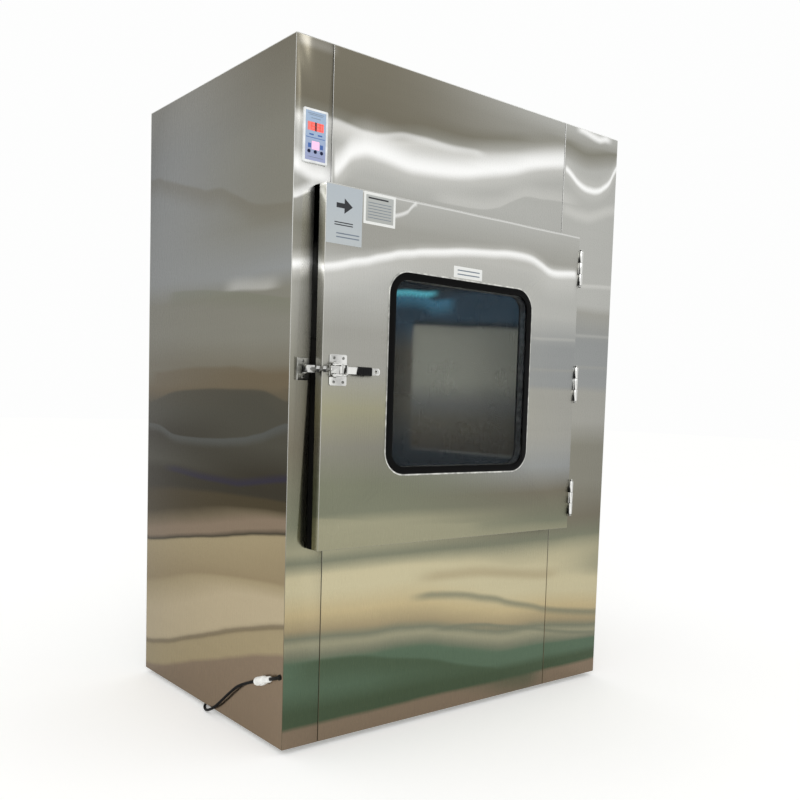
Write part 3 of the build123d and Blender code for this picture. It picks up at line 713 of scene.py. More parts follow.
    # door leaves, with painted reflections and painted highlight lines
    DOOR_NEAR = Column((
        (0.53, Tone.REED), (0.60, Tone.REED), (0.63, Tone.LICHEN), (0.70, Tone.LICHEN), (0.80, Tone.STONE),
        (0.90, Tone.REED), (1.00, Tone.ASH), (1.10, Tone.ASH), (1.20, Tone.SILVER), (1.27, Tone.SILVER),
        (1.32, Tone.ASH), (1.38, Tone.ASH), (1.46, Tone.SILVER)))
    DOOR_FAR = Column((
        (0.53, Tone.REED), (0.57, Tone.LICHEN), (0.66, Tone.OLIVE), (0.74, Tone.PEWTER), (0.84, Tone.ASH),
        (0.975, Tone.ASH), (0.99, Tone.PEWTER), (1.11, Tone.PEWTER), (1.20, Tone.SILVER),
        (1.33, Tone.SILVER), (1.36, Tone.ASH), (1.46, Tone.SILVER)))
    DOOR_WAVE = (
        (-0.559, 1.253), (-0.487, 1.271), (-0.416, 1.288), (-0.342, 1.31), (-0.265, 1.326), (-0.142, 1.345),
        (0.034, 1.362), (0.129, 1.368), (0.188, 1.362), (0.23, 1.347), (0.272, 1.335), (0.367, 1.342))
    DOOR_CREASES = (
        PaintedReflectionLine(((-0.554, 0.617), (-0.427, 0.604), (-0.29, 0.585), (-0.142, 0.581), (-0.064, 0.576)), 0.008,
               0.08, 0.7, Tone.REED, 0.10),
        PaintedReflectionLine(DOOR_WAVE, 0.03, 0.10, 0.45, Tone.PEARL, 0.02),
        PaintedReflectionLine(DOOR_WAVE, 0.014, 0.022, 0.9, Tone.WHITE, 0.02),
        PaintedReflectionLine(((-0.344, 1.411), (-0.301, 1.429), (-0.278, 1.451)), 0.008, 0.010, 0.6, Tone.WHITE, 0.01),
        PaintedReflectionLine(((-0.57, 1.4545), (0.40, 1.4545)), 0.004, 0.003, 0.45, Tone.WHITE, 0.01),
        PaintedReflectionLine(((0.22, 1.132), (0.383, 1.137)), 0.006, 0.010, 0.6, Tone.SILVER, 0.06),
        PaintedReflectionLine(((0.22, 1.037), (0.39, 1.041)), 0.006, 0.010, 0.45, Tone.ASH, 0.06))
    # side sheets, which run along Y, with painted reflections and painted dark reflection bands
    SIDE_LOW = (
        (0.0, Tone.CLAY), (0.030, Tone.CLAY), (0.040, Tone.SAND), (0.098, Tone.SAND), (0.110, Tone.UMBER),
        (0.122, Tone.DUNE), (0.22, Tone.DUNE), (0.300, Tone.SAND), (0.318, Tone.TAUPE), (0.445, Tone.SAND),
        (0.453, Tone.PEAT), (0.464, Tone.CLAY), (0.488, Tone.CLAY), (0.515, Tone.UMBER), (0.545, Tone.BARK),
        (0.60, Tone.BARK), (0.625, Tone.PEAT), (0.684, Tone.PEAT))
    SIDE_NEAR = Column(SIDE_LOW + (
        (0.715, Tone.PEAT), (0.80, Tone.SMOKE), (0.93, Tone.SMOKE), (0.95, Tone.UMBER), (0.985, Tone.UMBER),
        (1.01, Tone.DRAB), (1.08, Tone.STONE), (1.20, Tone.STONE), (1.25, Tone.PEWTER), (1.38, Tone.STONE),
        (1.60, Tone.STONE), (1.81, Tone.DRAB)))
    SIDE_FAR = Column(SIDE_LOW + (
        (0.715, Tone.SMOKE), (0.80, Tone.PEAT), (0.88, Tone.SMOKE), (0.94, Tone.UMBER), (0.99, Tone.DRAB),
        (1.02, Tone.DRAB), (1.10, Tone.STONE), (1.20, Tone.STONE), (1.27, Tone.PEWTER), (1.38, Tone.PEWTER),
        (1.65, Tone.PEWTER), (1.81, Tone.ASH)))
    SIDE_LEANS = (
        Lean(((-0.44, -0.13), (0.42, 0.0)), (-1.0, -0.9, 0.60, 0.70)),
        Lean(((-0.44, -0.10), (0.42, 0.0)), (-1.0, -0.9, 0.36, 0.46)))
    SIDE_REFLECTION_LINES = (
        PaintedReflectionLine(((-0.426, 1.403), (-0.215, 1.434), (-0.075, 1.488), (0.077, 1.515), (0.334, 1.582),
               (0.44, 1.60)), 0.012, 0.07, 0.55, Tone.DRAB, 0.02),
        PaintedReflectionLine(((-0.314, 1.207), (-0.236, 1.213), (-0.155, 1.219)), 0.04, 0.012, 0.40, Tone.PEARL, 0.10),
        PaintedReflectionLine(((-0.424, 1.171), (-0.224, 1.198), (-0.01, 1.22), (0.235, 1.235)), 0.006, 0.06, 0.45,
               Tone.LICHEN, 0.08),
        PaintedReflectionLine(((-0.422, 0.935), (-0.297, 0.978), (-0.163, 0.998), (0.142, 0.998), (0.355, 0.988)), 0.014,
               0.08, 0.65, Tone.UMBER, 0.08),
        PaintedReflectionLine(((-0.423, 0.911), (-0.324, 0.934), (-0.165, 0.939), (0.059, 0.937), (0.28, 0.923),
               (0.42, 0.894)), 0.010, 0.12, 0.85, Tone.SMOKE, 0.05),
        PaintedReflectionLine(((-0.425, 0.856), (-0.328, 0.833), (-0.238, 0.816), (-0.098, 0.802), (0.136, 0.794),
               (0.258, 0.799), (0.332, 0.819), (0.418, 0.827)), 0.006, 0.030, 0.75, Tone.SLATE, 0.05),
        PaintedReflectionLine(((-0.431, 0.715), (-0.174, 0.683), (0.051, 0.684), (0.219, 0.689)), 0.022, 0.012, 0.75,
               Tone.DUSK, 0.12))
    # the chamber's lining, with painted reflections and the lamp's light painted under the ceiling; the
    # lining glows with these painted tones
    WALL_NEAR = Column((
        (0.60, Tone.INK), (0.745, Tone.INK), (0.755, Tone.SLATE), (0.762, Tone.PEAT), (0.86, Tone.SMOKE),
        (0.92, Tone.SLATE), (1.00, Tone.PUTTY), (1.185, Tone.PUTTY), (1.20, Tone.INK), (1.22, Tone.NAVY),
        (1.30, Tone.NAVY), (1.33, Tone.INK), (1.40, Tone.INK)))
    WALL_FAR = Column((
        (0.60, Tone.INK), (0.75, Tone.INK), (0.90, Tone.SMOKE), (1.10, Tone.SMOKE), (1.20, Tone.NAVY),
        (1.30, Tone.NAVY), (1.355, Tone.INK), (1.40, Tone.INK)))
    WALL_LEANS = (Lean(((-0.34, 0.02), (0.23, -0.02)), (1.05, 1.15, 1.25, 1.30)),)
    WALL_REFLECTION_LINES = (
        PaintedReflectionLine(((0.06, 1.285), (0.11, 1.285), (0.17, 1.305), (0.22, 1.318), (0.36, 1.33)), 0.02, 0.06, 0.95,
               Tone.AZURE, 0.08),
        PaintedReflectionLine(((0.155, 1.322), (0.25, 1.334), (0.361, 1.342)), 0.016, 0.022, 1.0, Tone.GLOW, 0.08))

    front = SheetSteel("front_sheet", FRONT_NEAR, FRONT_FAR, (-0.40, 0.44), FRONT_REFLECTION_LINES, FRONT_LEANS)
    door = SheetSteel("door_sheet", DOOR_NEAR, DOOR_FAR, (-0.40, 0.34), DOOR_CREASES)
    side = SheetSteel("side_sheet", SIDE_NEAR, SIDE_FAR, (-0.40, 0.42), SIDE_REFLECTION_LINES, SIDE_LEANS, True)
    # the top and the door liners carry painted reflection tones as well
    top = SheetSteel("top_sheet", Column(((0.0, Tone.ASH), (2.0, Tone.SILVER))),
                     Column(((0.0, Tone.ASH), (2.0, Tone.PEARL))), (-0.6, 0.6))
    # the lining's painted reflection tones also glow, though the lining is no lamp
    inner = SheetSteel("chamber_sheet", WALL_NEAR, WALL_FAR, (0.215, 0.25), WALL_REFLECTION_LINES, WALL_LEANS, True,
                       0.010, glow=0.5, brush=0.2)
    liner = SheetSteel("liner_sheet", Column(((0.5, Tone.ASH), (1.5, Tone.SILVER))),
                       Column(((0.5, Tone.STONE), (1.5, Tone.ASH))), (-0.5, 0.4))
    # painted highlights along the rounded edges of the sheets, brighter higher up
    fold = SheetSteel("folded_edge", Column((
        (0.0, Tone.UMBER), (0.28, Tone.UMBER), (0.50, Tone.STONE), (0.62, Tone.SILVER), (0.90, Tone.PEARL),
        (1.2, Tone.PEARL), (1.4, Tone.WHITE), (1.81, Tone.PEARL))), Column((
            (0.0, Tone.UMBER), (0.28, Tone.TAUPE), (0.60, Tone.ASH), (1.2, Tone.PEARL), (1.81, Tone.WHITE))),
        (-0.5, 0.4))
    trim = PolishedSteel("window_trim", (226, 226, 220), 0.25)
    bright = BandedSteel("bright_steel")
    plated = PolishedSteel("plated_steel", (150, 150, 146), 0.3)
    keeper = PolishedSteel("keeper_steel", (196, 196, 190), 0.34)
    tube = PolishedSteel("frame_tube", (150, 150, 147), 0.35, 12.0)
    aluminium = PolishedSteel("spacer_aluminium", (150, 152, 152), 0.4)
    rubber = Rubber("seal_rubber", (9, 9, 9), (20, 20, 19))
    sheath = Rubber("lead_sheath", (11, 10, 10), (28, 28, 26))
    glass = Glass("window_glass")
    grip = Moulding("grip_plastic", (16, 16, 17), 0.45, 0.03 * MM, 0.12)
    white = Moulding("white_moulding", (236, 238, 238), 0.28)
    cream = Moulding("coupler_moulding", (240, 240, 236), 0.35)
    black = Moulding("black_moulding", (20, 20, 18), 0.4, 0.01 * MM, 0.15)
    motor = Moulding("motor_paint", (40, 40, 43), 0.35, 0.02 * MM, 0.3)
    key = Moulding("key_plastic", (22, 28, 58), 0.35, 0.01 * MM, 0.15)
    paper = PleatedPaper("filter_paper")
    lamp = Lit("germicidal_tube", (110, 200, 255), 3.0)
    digit = Lit("display_segment", (255, 70, 60), 1.3)
    window = Lit("display_window", (222, 112, 104), 0.35)
    blush = Lit("indicator_area", (240, 176, 206), 0.6)
    membrane = Film("membrane", (160, 182, 208), (156, 162, 200), (1.50, 1.60))
    blue_ink = Moulding("blue_ink", (64, 100, 168), 0.4)
    grey_ink = Moulding("grey_ink", (112, 122, 134), 0.5)
    dark_ink = Moulding("dark_ink", (34, 36, 40), 0.5)
    label_blue = Film("label_pale_blue", (176, 184, 190), (182, 188, 190), (1.30, 1.46))
    label_grey = Film("label_grey", (176, 179, 176), (170, 172, 168), (1.37, 1.46))
    label_white = Film("label_white", (232, 233, 230), (228, 229, 226), (1.27, 1.31))
    floor = StudioFloor("studio_floor")


# ------------------------------------------------------------- shape making
def corners(node: str) -> tuple[Vector, Vector]:
    """Lowest and highest corner of a CAD node at rest."""
    low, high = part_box(node)
    return Vector(low), Vector(high)


def placed(name: str, data: bpy.types.ID) -> Part:
    """An object that holds the data, in the scene.

    Args:
        name: The object's name.
        data: Its mesh, curve, light or camera.

    Returns:
        The object.
    """
    made = bpy.data.objects.new(name, data)
    bpy.context.scene.collection.objects.link(made)
    return made


def piece(name: str, work: Mesh, finish: Finish, body: str, replaces: Sequence[str] = (),
          bevel: float = 0.0, edge: Optional[Finish] = None) -> Part:
    """Turns a worked mesh into a piece of the object.

    Args:
        name: The piece's name.
        work: Its mesh, which is freed.
        finish: Its finish.
        body: The CAD body that it rides on.
        replaces: CAD nodes that it stands for.
        bevel: Width of its rounded edges, in metres.
        edge: The finish of those edges, where it differs.

    Returns:
        The piece.
    """
    mesh = bpy.data.meshes.new(name)
    bmesh.ops.recalc_face_normals(work, faces=work.faces)
    work.to_mesh(mesh)
    work.free()
    mesh.materials.append(finish.material())
    if edge is not None:
        mesh.materials.append(edge.material())
    made = placed(name, mesh)
    mesh.shade_smooth()
    if bevel:
        rounding = made.modifiers.new("edges", "BEVEL")
        rounding.width = bevel
        rounding.segments = 2
        rounding.limit_method = "ANGLE"
        rounding.angle_limit = CRISP_ANGLE
        rounding.harden_normals = True
        if edge is not None:
            rounding.material = 1
    else:
        mesh.set_sharp_from_angle(angle=CRISP_ANGLE)
    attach(made, body)
    if replaces:
        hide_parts(*replaces)
    return made


def copy_of(node: str) -> Mesh:
    """A clean working copy of a CAD node, with its flat faces whole again.

    Args:
        node: The node.

    Returns:
        The copy.
    """
    work = bmesh.new()
    work.from_mesh(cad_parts[node].data)
    for layer in list(work.loops.layers.float_vector.values()):
        work.loops.layers.float_vector.remove(layer)
    bmesh.ops.remove_doubles(work, verts=work.verts, dist=0.002 * MM)
    bmesh.ops.dissolve_limit(work, angle_limit=math.radians(0.5), verts=work.verts, edges=work.edges)
    return work


def block(work: Mesh, x: Span, y: Span, z: Span) -> None:
    """Adds a six-sided block.

    Args:
        work: The mesh it goes into.
        x: Its low and high side along X.
        y: Its low and high side along Y.
        z: Its low and high side along Z.
    """
    middle = Vector([(low + high) / 2 for low, high in (x, y, z)])
    size = Vector([high - low for low, high in (x, y, z)])
    for vert in bmesh.ops.create_cube(work, size=1.0)["verts"]:
        vert.co = Vector(a * b for a, b in zip(vert.co, size)) + middle


def turned(work: Mesh, profile: Sequence[Span], root: Vector, axis: Vector, sides: int = 28) -> None:
    """Adds a turned shape.

    Args:
        work: The mesh it goes into.
        profile: (radius, height) pairs from its root to its tip.
        root: Where height 0 is.
        axis: The way it points.
        sides: How many sides it has.
    """
    turn = UP.rotation_difference(axis).to_matrix()
    rings = []
    for radius, height in profile:
        ring = []
        for i in range(sides if radius > 0 else 1):
            angle = 2 * math.pi * i / sides
            spot = turn @ Vector((radius * math.cos(angle), radius * math.sin(angle), height))
            ring.append(work.verts.new(root + spot))
        rings.append(ring)
    for below, above in zip(rings, rings[1:]):
        for i in range(sides):
            j = i + 1
            around = (below[i % len(below)], below[j % len(below)],
                      above[j % len(above)], above[i % len(above)])
            face = list(dict.fromkeys(around))
            if len(face) > 2:
                work.faces.new(face)
    for ring in (rings[0], rings[-1]):
        if len(ring) > 2:
            work.faces.new(ring)


def rounded_outline(width: float, height: float, radius: float, steps: int) -> list[Span]:
    """Points around a rectangle with rounded corners, about its middle.

    Args:
        width: Its width.
        height: Its height.
        radius: Its corners' radius.
        steps: How many steps a corner has.

    Returns:
        The points, as (x, z) pairs.
    """
    points = []
    for quarter, (sx, sz) in enumerate(((1, 1), (-1, 1), (-1, -1), (1, -1))):
        for i in range(steps + 1):
            angle = math.pi / 2 * (quarter + i / steps)
            points.append((sx * (width / 2 - radius) + radius * math.cos(angle),
                           sz * (height / 2 - radius) + radius * math.sin(angle)))
    return points


def circle(x: float, z: float, radius: float, sides: int = 24) -> list[Span]:
    """Points round a circle about a place, as pairs."""
    return [(x + radius * math.cos(2 * math.pi * i / sides), z + radius * math.sin(2 * math.pi * i / sides))
            for i in range(sides)]


def plate(work: Mesh, outline: Sequence[Span], centre: Vector, depth: float,
          holes: Iterable[Sequence[Span]] = ()) -> None:
    """Adds an upright plate whose outline is drawn in X and Z.

    Args:
        work: The mesh it goes into.
        outline: Its (x, z) points about the centre.
        centre: A point on its back face.
        depth: How far its other face lies along +Y, negative towards the front.
        holes: Outlines of the holes through it.
    """
    edges = []
    for loop in (outline, *holes):
        verts = [work.verts.new(centre + Vector((x, 0, z))) for x, z in loop]
        edges += [work.edges.new((a, b)) for a, b in zip(verts, verts[1:] + verts[:1])]
    faces = bmesh.ops.triangle_fill(work, edges=edges, use_beauty=True)["geom"]
    faces = [item for item in faces if isinstance(item, bmesh.types.BMFace)]
    lifted = bmesh.ops.extrude_face_region(work, geom=faces)["geom"]
    for item in lifted:
        if isinstance(item, bmesh.types.BMVert):
            item.co.y += depth


def screw(work: Mesh, root: Vector, axis: Vector, radius: float, height: float) -> None:
    """Adds a domed screw head with a round socket.

    Args:
        work: The mesh it goes into.
        root: The middle of its seat.
        axis: The way it points.
        radius: Its radius.
        height: Its height.
    """
    socket = radius * 0.42
    turned(work, [(radius, 0.0), (radius, height * 0.35), (radius * 0.85, height * 0.75),
                  (radius * 0.6, height), (socket, height), (socket * 0.85, height * 0.35),
                  (0.0, height * 0.25)], root, axis, 22)


def in_millimetres(profile: Iterable[Span]) -> list[Span]:
    """A profile drawn in millimetres, in metres."""
    return [(radius * MM, height * MM) for radius, height in profile]


def outer_face(node: str, end: End) -> float:
    """How far out a CAD node reaches at an end, along Y."""
    low, high = corners(node)
    return low.y if end is End.FRONT else high.y


# ------------------------------------------------------------- sub-assemblies
@dataclass
class Assembly:
    """A named group of pieces on the pass box."""

    made: list[Part] = field(default_factory=list)

    def add(self, made: Part) -> Part:
        """Keeps a piece that was made, and returns it."""
        self.made.append(made)
        return made

    def paint(self, finish: Finish, *nodes: str) -> None:
        """Gives CAD nodes that stay as they are a finish.

        Args:
            finish: The finish.
            nodes: The nodes.
        """
        for node in nodes:
            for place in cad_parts[node].material_slots:
                place.material = finish.material()
            self.add(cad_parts[node])

    def dress(self, node: str, finish: Finish, body: str, slot: str, bevel: float,
              edge: Optional[Finish] = None) -> Part:
        """Replaces a CAD node by a copy with rounded edges.

        Args:
            node: The node.
            finish: Its finish.
            body: The body it rides on.
            slot: The record's material slot; not used.
            bevel: Width of the rounded edges.
            edge: The finish of those edges.

        Returns:
            The piece.
        """
        return self.add(piece("dressed_" + node, copy_of(node), finish, body, (node,), bevel, edge))

    def build(self) -> None:
        """Builds the assembly."""
        raise NotImplementedError

    def report(self) -> None:
        """Logs each piece."""
        for made in self.made:
            log.info("%s: %s", type(self).__name__, made.name)


@dataclass
class Casing(Assembly):
    """Outer sheets, the base pan, the feet and the frame inside."""

    side_fold: float = 3.0 * MM
    front_fold: float = 1.8 * MM
    cover_edge: float = 0.6 * MM
    foot_edge: float = 0.8 * MM

    def build(self) -> None:
        """Rounds the folded sheets and finishes what is inside."""
        for node in ("side_panel_left", "side_panel_right"):
            self.dress(node, Finishes.side, "cabinet", "casing_steel", self.side_fold, Finishes.fold)
        for node in ("left_strips", "right_strips", "upper_panels", "lower_panels"):
            self.dress(node, Finishes.front, "cabinet", "casing_steel", self.front_fold, Finishes.fold)
        self.dress("top_cover", Finishes.top, "cabinet", "casing_steel", self.cover_edge, Finishes.fold)
        self.dress("levelling_feet", Finishes.plated, "cabinet", "feet_steel", self.foot_edge)
        self.paint(Finishes.top, "base_pan")
        self.paint(Finishes.tube, "frame_posts", "frame_rails")


@dataclass
class Chamber(Assembly):
    """The steel-lined space between the doors, and its lamp."""

    holder_edge: float = 0.8 * MM
    cap_length: float = 12 * MM
    glass_share: float = 0.9
    sides: int = 20

    def build(self) -> None:
        """Finishes the lining and builds the lamp."""
        self.paint(Finishes.inner, "chamber_left_wall", "chamber_right_wall", "chamber_ceiling",
                   "chamber_floor")
        self.dress("lamp_holders", Finishes.white, "cabinet", "lamp_holder_plastic", self.holder_edge)
        low, high = corners("uv_lamp")
        radius = (high.x - low.x) / 2
        glass = radius * self.glass_share
        foot = Vector(((low.x + high.x) / 2, low.y, (low.z + high.z) / 2))
        head = Vector((foot.x, high.y, foot.z))
        along = Vector((0, 1, 0))
        work = bmesh.new()
        turned(work, [(glass, 0.0), (glass, high.y - low.y)], foot, along, self.sides)
        self.add(piece("lamp_tube", work, Finishes.lamp, "cabinet", ("uv_lamp",)))
        cap = [(radius, 0.0), (radius, self.cap_length * 0.9), (radius * 0.92, self.cap_length)]
        work = bmesh.new()
        for root, way in ((foot, along), (head, -along)):
            turned(work, cap, root, way, self.sides)
        self.add(piece("lamp_caps", work, Finishes.plated, "cabinet"))


@dataclass
class Works(Assembly):
    """Filter, plenum and blower, closed in above the chamber."""

    def build(self) -> None:
        """Finishes the inner works."""
        self.paint(Finishes.paper, "final_filter")
        self.paint(Finishes.tube, "plenum", "blower_housing", "blower_wheel")
        self.paint(Finishes.motor, "blower_motor")


@dataclass
class Door(Assembly):
    """One glazed door with its seal and its half of the interlock."""

    end: End = End.FRONT
    fold_radius: float = 2.6 * MM
    gasket_edge: float = 1.3 * MM
    seal_edge: float = 2.0 * MM
    window_corner: float = 62 * MM
    corner_steps: int = 14
    rim_width: float = 4.0 * MM
    rim_height: float = 0.7 * MM

    def build(self) -> None:
        """Rounds the leaf, the gaskets and the seal, and rims the window."""
        word = self.end.word
        body = word + "_door"
        self.dress(word + "_door_shell", Finishes.door, body, "door_steel", self.fold_radius, Finishes.fold)
        self.paint(Finishes.liner, word + "_door_liner")
        self.paint(Finishes.glass, word + "_window_panes")
        self.paint(Finishes.aluminium, word + "_pane_spacer")
        self.dress(word + "_window_gaskets", Finishes.rubber, body, "seal_rubber", self.gasket_edge)
        self.dress(word + "_door_seal", Finishes.rubber, body, "seal_rubber", self.seal_edge)
        self.paint(Finishes.plated, word + "_interlock_plate")
        low, high = corners(word + "_window_gaskets")
        size = high - low
        middle = Vector(((low.x + high.x) / 2, outer_face(word + "_door_shell", self.end),
                         (low.z + high.z) / 2))
        outer = rounded_outline(size.x + 2 * self.rim_width, size.z + 2 * self.rim_width,
                                self.window_corner + self.rim_width, self.corner_steps)
        inner = rounded_outline(size.x, size.z, self.window_corner, self.corner_steps)
        work = bmesh.new()
        plate(work, outer, middle, self.end.value * self.rim_height, [inner])
        self.add(piece(word + "_window_rim", work, Finishes.trim, body))


@dataclass
class Hinges(Assembly):
    """Three hinges on each door, with domed pin ends and screws."""

    axis: Span = (0.396, 0.496)
    pitch: float = 363 * MM
    leaf_edge: float = 0.7 * MM
    leaf_face: float = 443 * MM
    screw_reach: float = 29 * MM
    screw_pitch: float = 36 * MM
    screw_radius: float = 4.0 * MM
    screw_height: float = 1.8 * MM
    barrel_half: float = 52.8 * MM
    neck_half: float = 1.5 * MM
    dome_radius: float = 5.5 * MM
    dome_height: float = 5.0 * MM
    dome_start: float = 0.12
    dome_steps: int = 6

    def build(self) -> None:
        """Rounds the leaves, then adds domes and screws."""
        self.dress("hinge_cabinet_leaves", Finishes.bright, "cabinet", "bright_steel", self.leaf_edge)
        domes = bmesh.new()
        screws = bmesh.new()
        for end in End:
            self.dress(end.word + "_hinge_door_leaves", Finishes.bright, end.word + "_door", "bright_steel",
                       self.leaf_edge)
            outward = Vector((0, end.value, 0))
            for z in (DOOR_MIDDLE - self.pitch, DOOR_MIDDLE, DOOR_MIDDLE + self.pitch):
                self.add_domes(domes, end, z)
                for step in (-1, 0, 1):
                    root = Vector((self.axis[0] + self.screw_reach, end.value * self.leaf_face,
                                   z + step * self.screw_pitch))
                    screw(screws, root, outward, self.screw_radius, self.screw_height)
        self.add(piece("hinge_pin_domes", domes, Finishes.bright, "cabinet"))
        self.add(piece("hinge_screws", screws, Finishes.plated, "cabinet"))

    def add_domes(self, work: Mesh, end: End, z: float) -> None:
        """Adds the domed ends of one pin.

        Args:
            work: The mesh they go into.
            end: The door's end.
            z: The hinge's middle.
        """
        profile = [(self.dome_radius * 0.6, -self.neck_half), (self.dome_radius * 0.6, self.neck_half)]
        for i in range(self.dome_steps):
            angle = math.pi * (self.dome_start + (1 - self.dome_start) * i / self.dome_steps)
            profile.append((self.dome_radius * math.sin(angle),
                            self.neck_half + self.dome_height * (1 - math.cos(angle)) / 2))
        profile.append((0.0, self.neck_half + self.dome_height))
        for way in (-1, 1):
            root = Vector((self.axis[0], end.value * self.axis[1], z + way * self.barrel_half))
            turned(work, profile, root, way * UP, 20)


@dataclass
class Latch(Assembly):
    """A draw latch on one door."""

    end: End = End.FRONT
    edge: float = 0.8 * MM
    link_edge: float = 0.6 * MM
    grip_edge: float = 1.2 * MM
    base_face: float = 0.498
    screw_places: Span = (-0.5265, -0.4985)
    screw_rise: float = 30.5 * MM
    screw_radius: float = 3.8 * MM
    screw_height: float = 1.6 * MM
    pin: Span = (-0.532, 0.510)
    rivet_rise: float = 18.2 * MM
    rivet: tuple[Span, ...] = ((4.6, 0.0), (4.4, 0.8), (3.0, 1.9), (0.0, 2.3))
    rib_count: int = 7
    rib_half: float = 1.1 * MM
    rib_sunk: float = 0.6 * MM
    rib_proud: float = 0.5 * MM
    rib_margin: float = 3.4 * MM
    rib_edge: float = 0.4 * MM
    rod_start: Span = (-0.586, 0.4855)
    rod_stop: Span = (-0.546, 0.519)
    thread_pitch: float = 1.5 * MM
    thread_root: float = 4.0 * MM
    thread_crest: float = 4.5 * MM

    def build(self) -> None:
        """Rounds the latch's pieces and adds screws, rivets, thread and grip ribs."""
        word = self.end.word
        self.dress(word + "_latch_base", Finishes.bright, word + "_door", "bright_steel", self.edge)
        self.dress(word + "_latch_lever", Finishes.bright, word + "_lever", "bright_steel", self.edge)
        self.dress(word + "_latch_link", Finishes.bright, word + "_link", "bright_steel", self.link_edge)
        self.dress(word + "_latch_grip", Finishes.grip, word + "_lever", "grip_plastic", self.grip_edge)
        self.add_screws()
        self.add_rivets()
        self.add_ribs()
        self.add_thread()

    def out(self, place: Span, z: float) -> Vector:
        """A point from its place along X and its distance out from the casing's middle plane."""
        return Vector((place[0], self.end.value * place[1], z))

    def add_screws(self) -> None:
        """Adds the base plate's screws."""
        work = bmesh.new()
        for x in self.screw_places:
            for way in (-1, 1):
                root = self.out((x, self.base_face), DOOR_MIDDLE + way * self.screw_rise)
                screw(work, root, Vector((0, self.end.value, 0)), self.screw_radius, self.screw_height)
        word = self.end.word
        self.add(piece(word + "_latch_screws", work, Finishes.plated, word + "_door"))

    def add_rivets(self) -> None:
        """Adds the rivet ends of the lever's pin."""
        work = bmesh.new()
        for way in (-1, 1):
            root = self.out(self.pin, DOOR_MIDDLE + way * self.rivet_rise)
            turned(work, in_millimetres(self.rivet), root, way * UP, 20)
        word = self.end.word
        self.add(piece(word + "_latch_rivets", work, Finishes.plated, word + "_door"))

    def add_ribs(self) -> None:
        """Adds finger ribs on the grip."""
        word = self.end.word
        low, high = corners(word + "_latch_grip")
        front = outer_face(word + "_latch_grip", self.end)
        reach = sorted((front - self.end.value * self.rib_sunk, front + self.end.value * self.rib_proud))
        work = bmesh.new()
        for i in range(self.rib_count):
            x = low.x + (high.x - low.x) * (i + 1) / (self.rib_count + 1)
            block(work, (x - self.rib_half, x + self.rib_half), (reach[0], reach[1]),
                  (low.z + self.rib_margin, high.z - self.rib_margin))
        self.add(piece(word + "_grip_ribs", work, Finishes.grip, word + "_lever", (),
                       self.rib_edge))

    def add_thread(self) -> None:
        """Adds thread ridges along the link's rod."""
        start = self.out(self.rod_start, DOOR_MIDDLE)
        run = self.out(self.rod_stop, DOOR_MIDDLE) - start
        profile = []
        for i in range(int(run.length / self.thread_pitch)):
            base = i * self.thread_pitch
            profile += [(self.thread_root, base), (self.thread_crest, base + self.thread_pitch / 2)]
        work = bmesh.new()
        turned(work, profile, start, run.normalized(), 18)
        word = self.end.word
        self.add(piece(word + "_link_thread", work, Finishes.plated, word + "_link"))


@dataclass
class Keepers(Assembly):
    """The keepers that both latches draw on, and the interlock's magnets."""

    edge: float = 0.8 * MM
    screw_x: float = -0.584
    face: float = 0.443
    screw_rise: float = 20.5 * MM
    screw_radius: float = 3.8 * MM
    screw_height: float = 1.6 * MM

    def build(self) -> None:
        """Rounds the keepers and adds their screws."""
        self.dress("latch_keepers", Finishes.keeper, "cabinet", "bright_steel", self.edge)
        work = bmesh.new()
        for end in End:
            for way in (-1, 1):
                root = Vector((self.screw_x, end.value * self.face, DOOR_MIDDLE + way * self.screw_rise))
                screw(work, root, Vector((0, end.value, 0)), self.screw_radius, self.screw_height)
        self.add(piece("keeper_screws", work, Finishes.plated, "cabinet"))
        self.paint(Finishes.motor, "interlock_magnets")


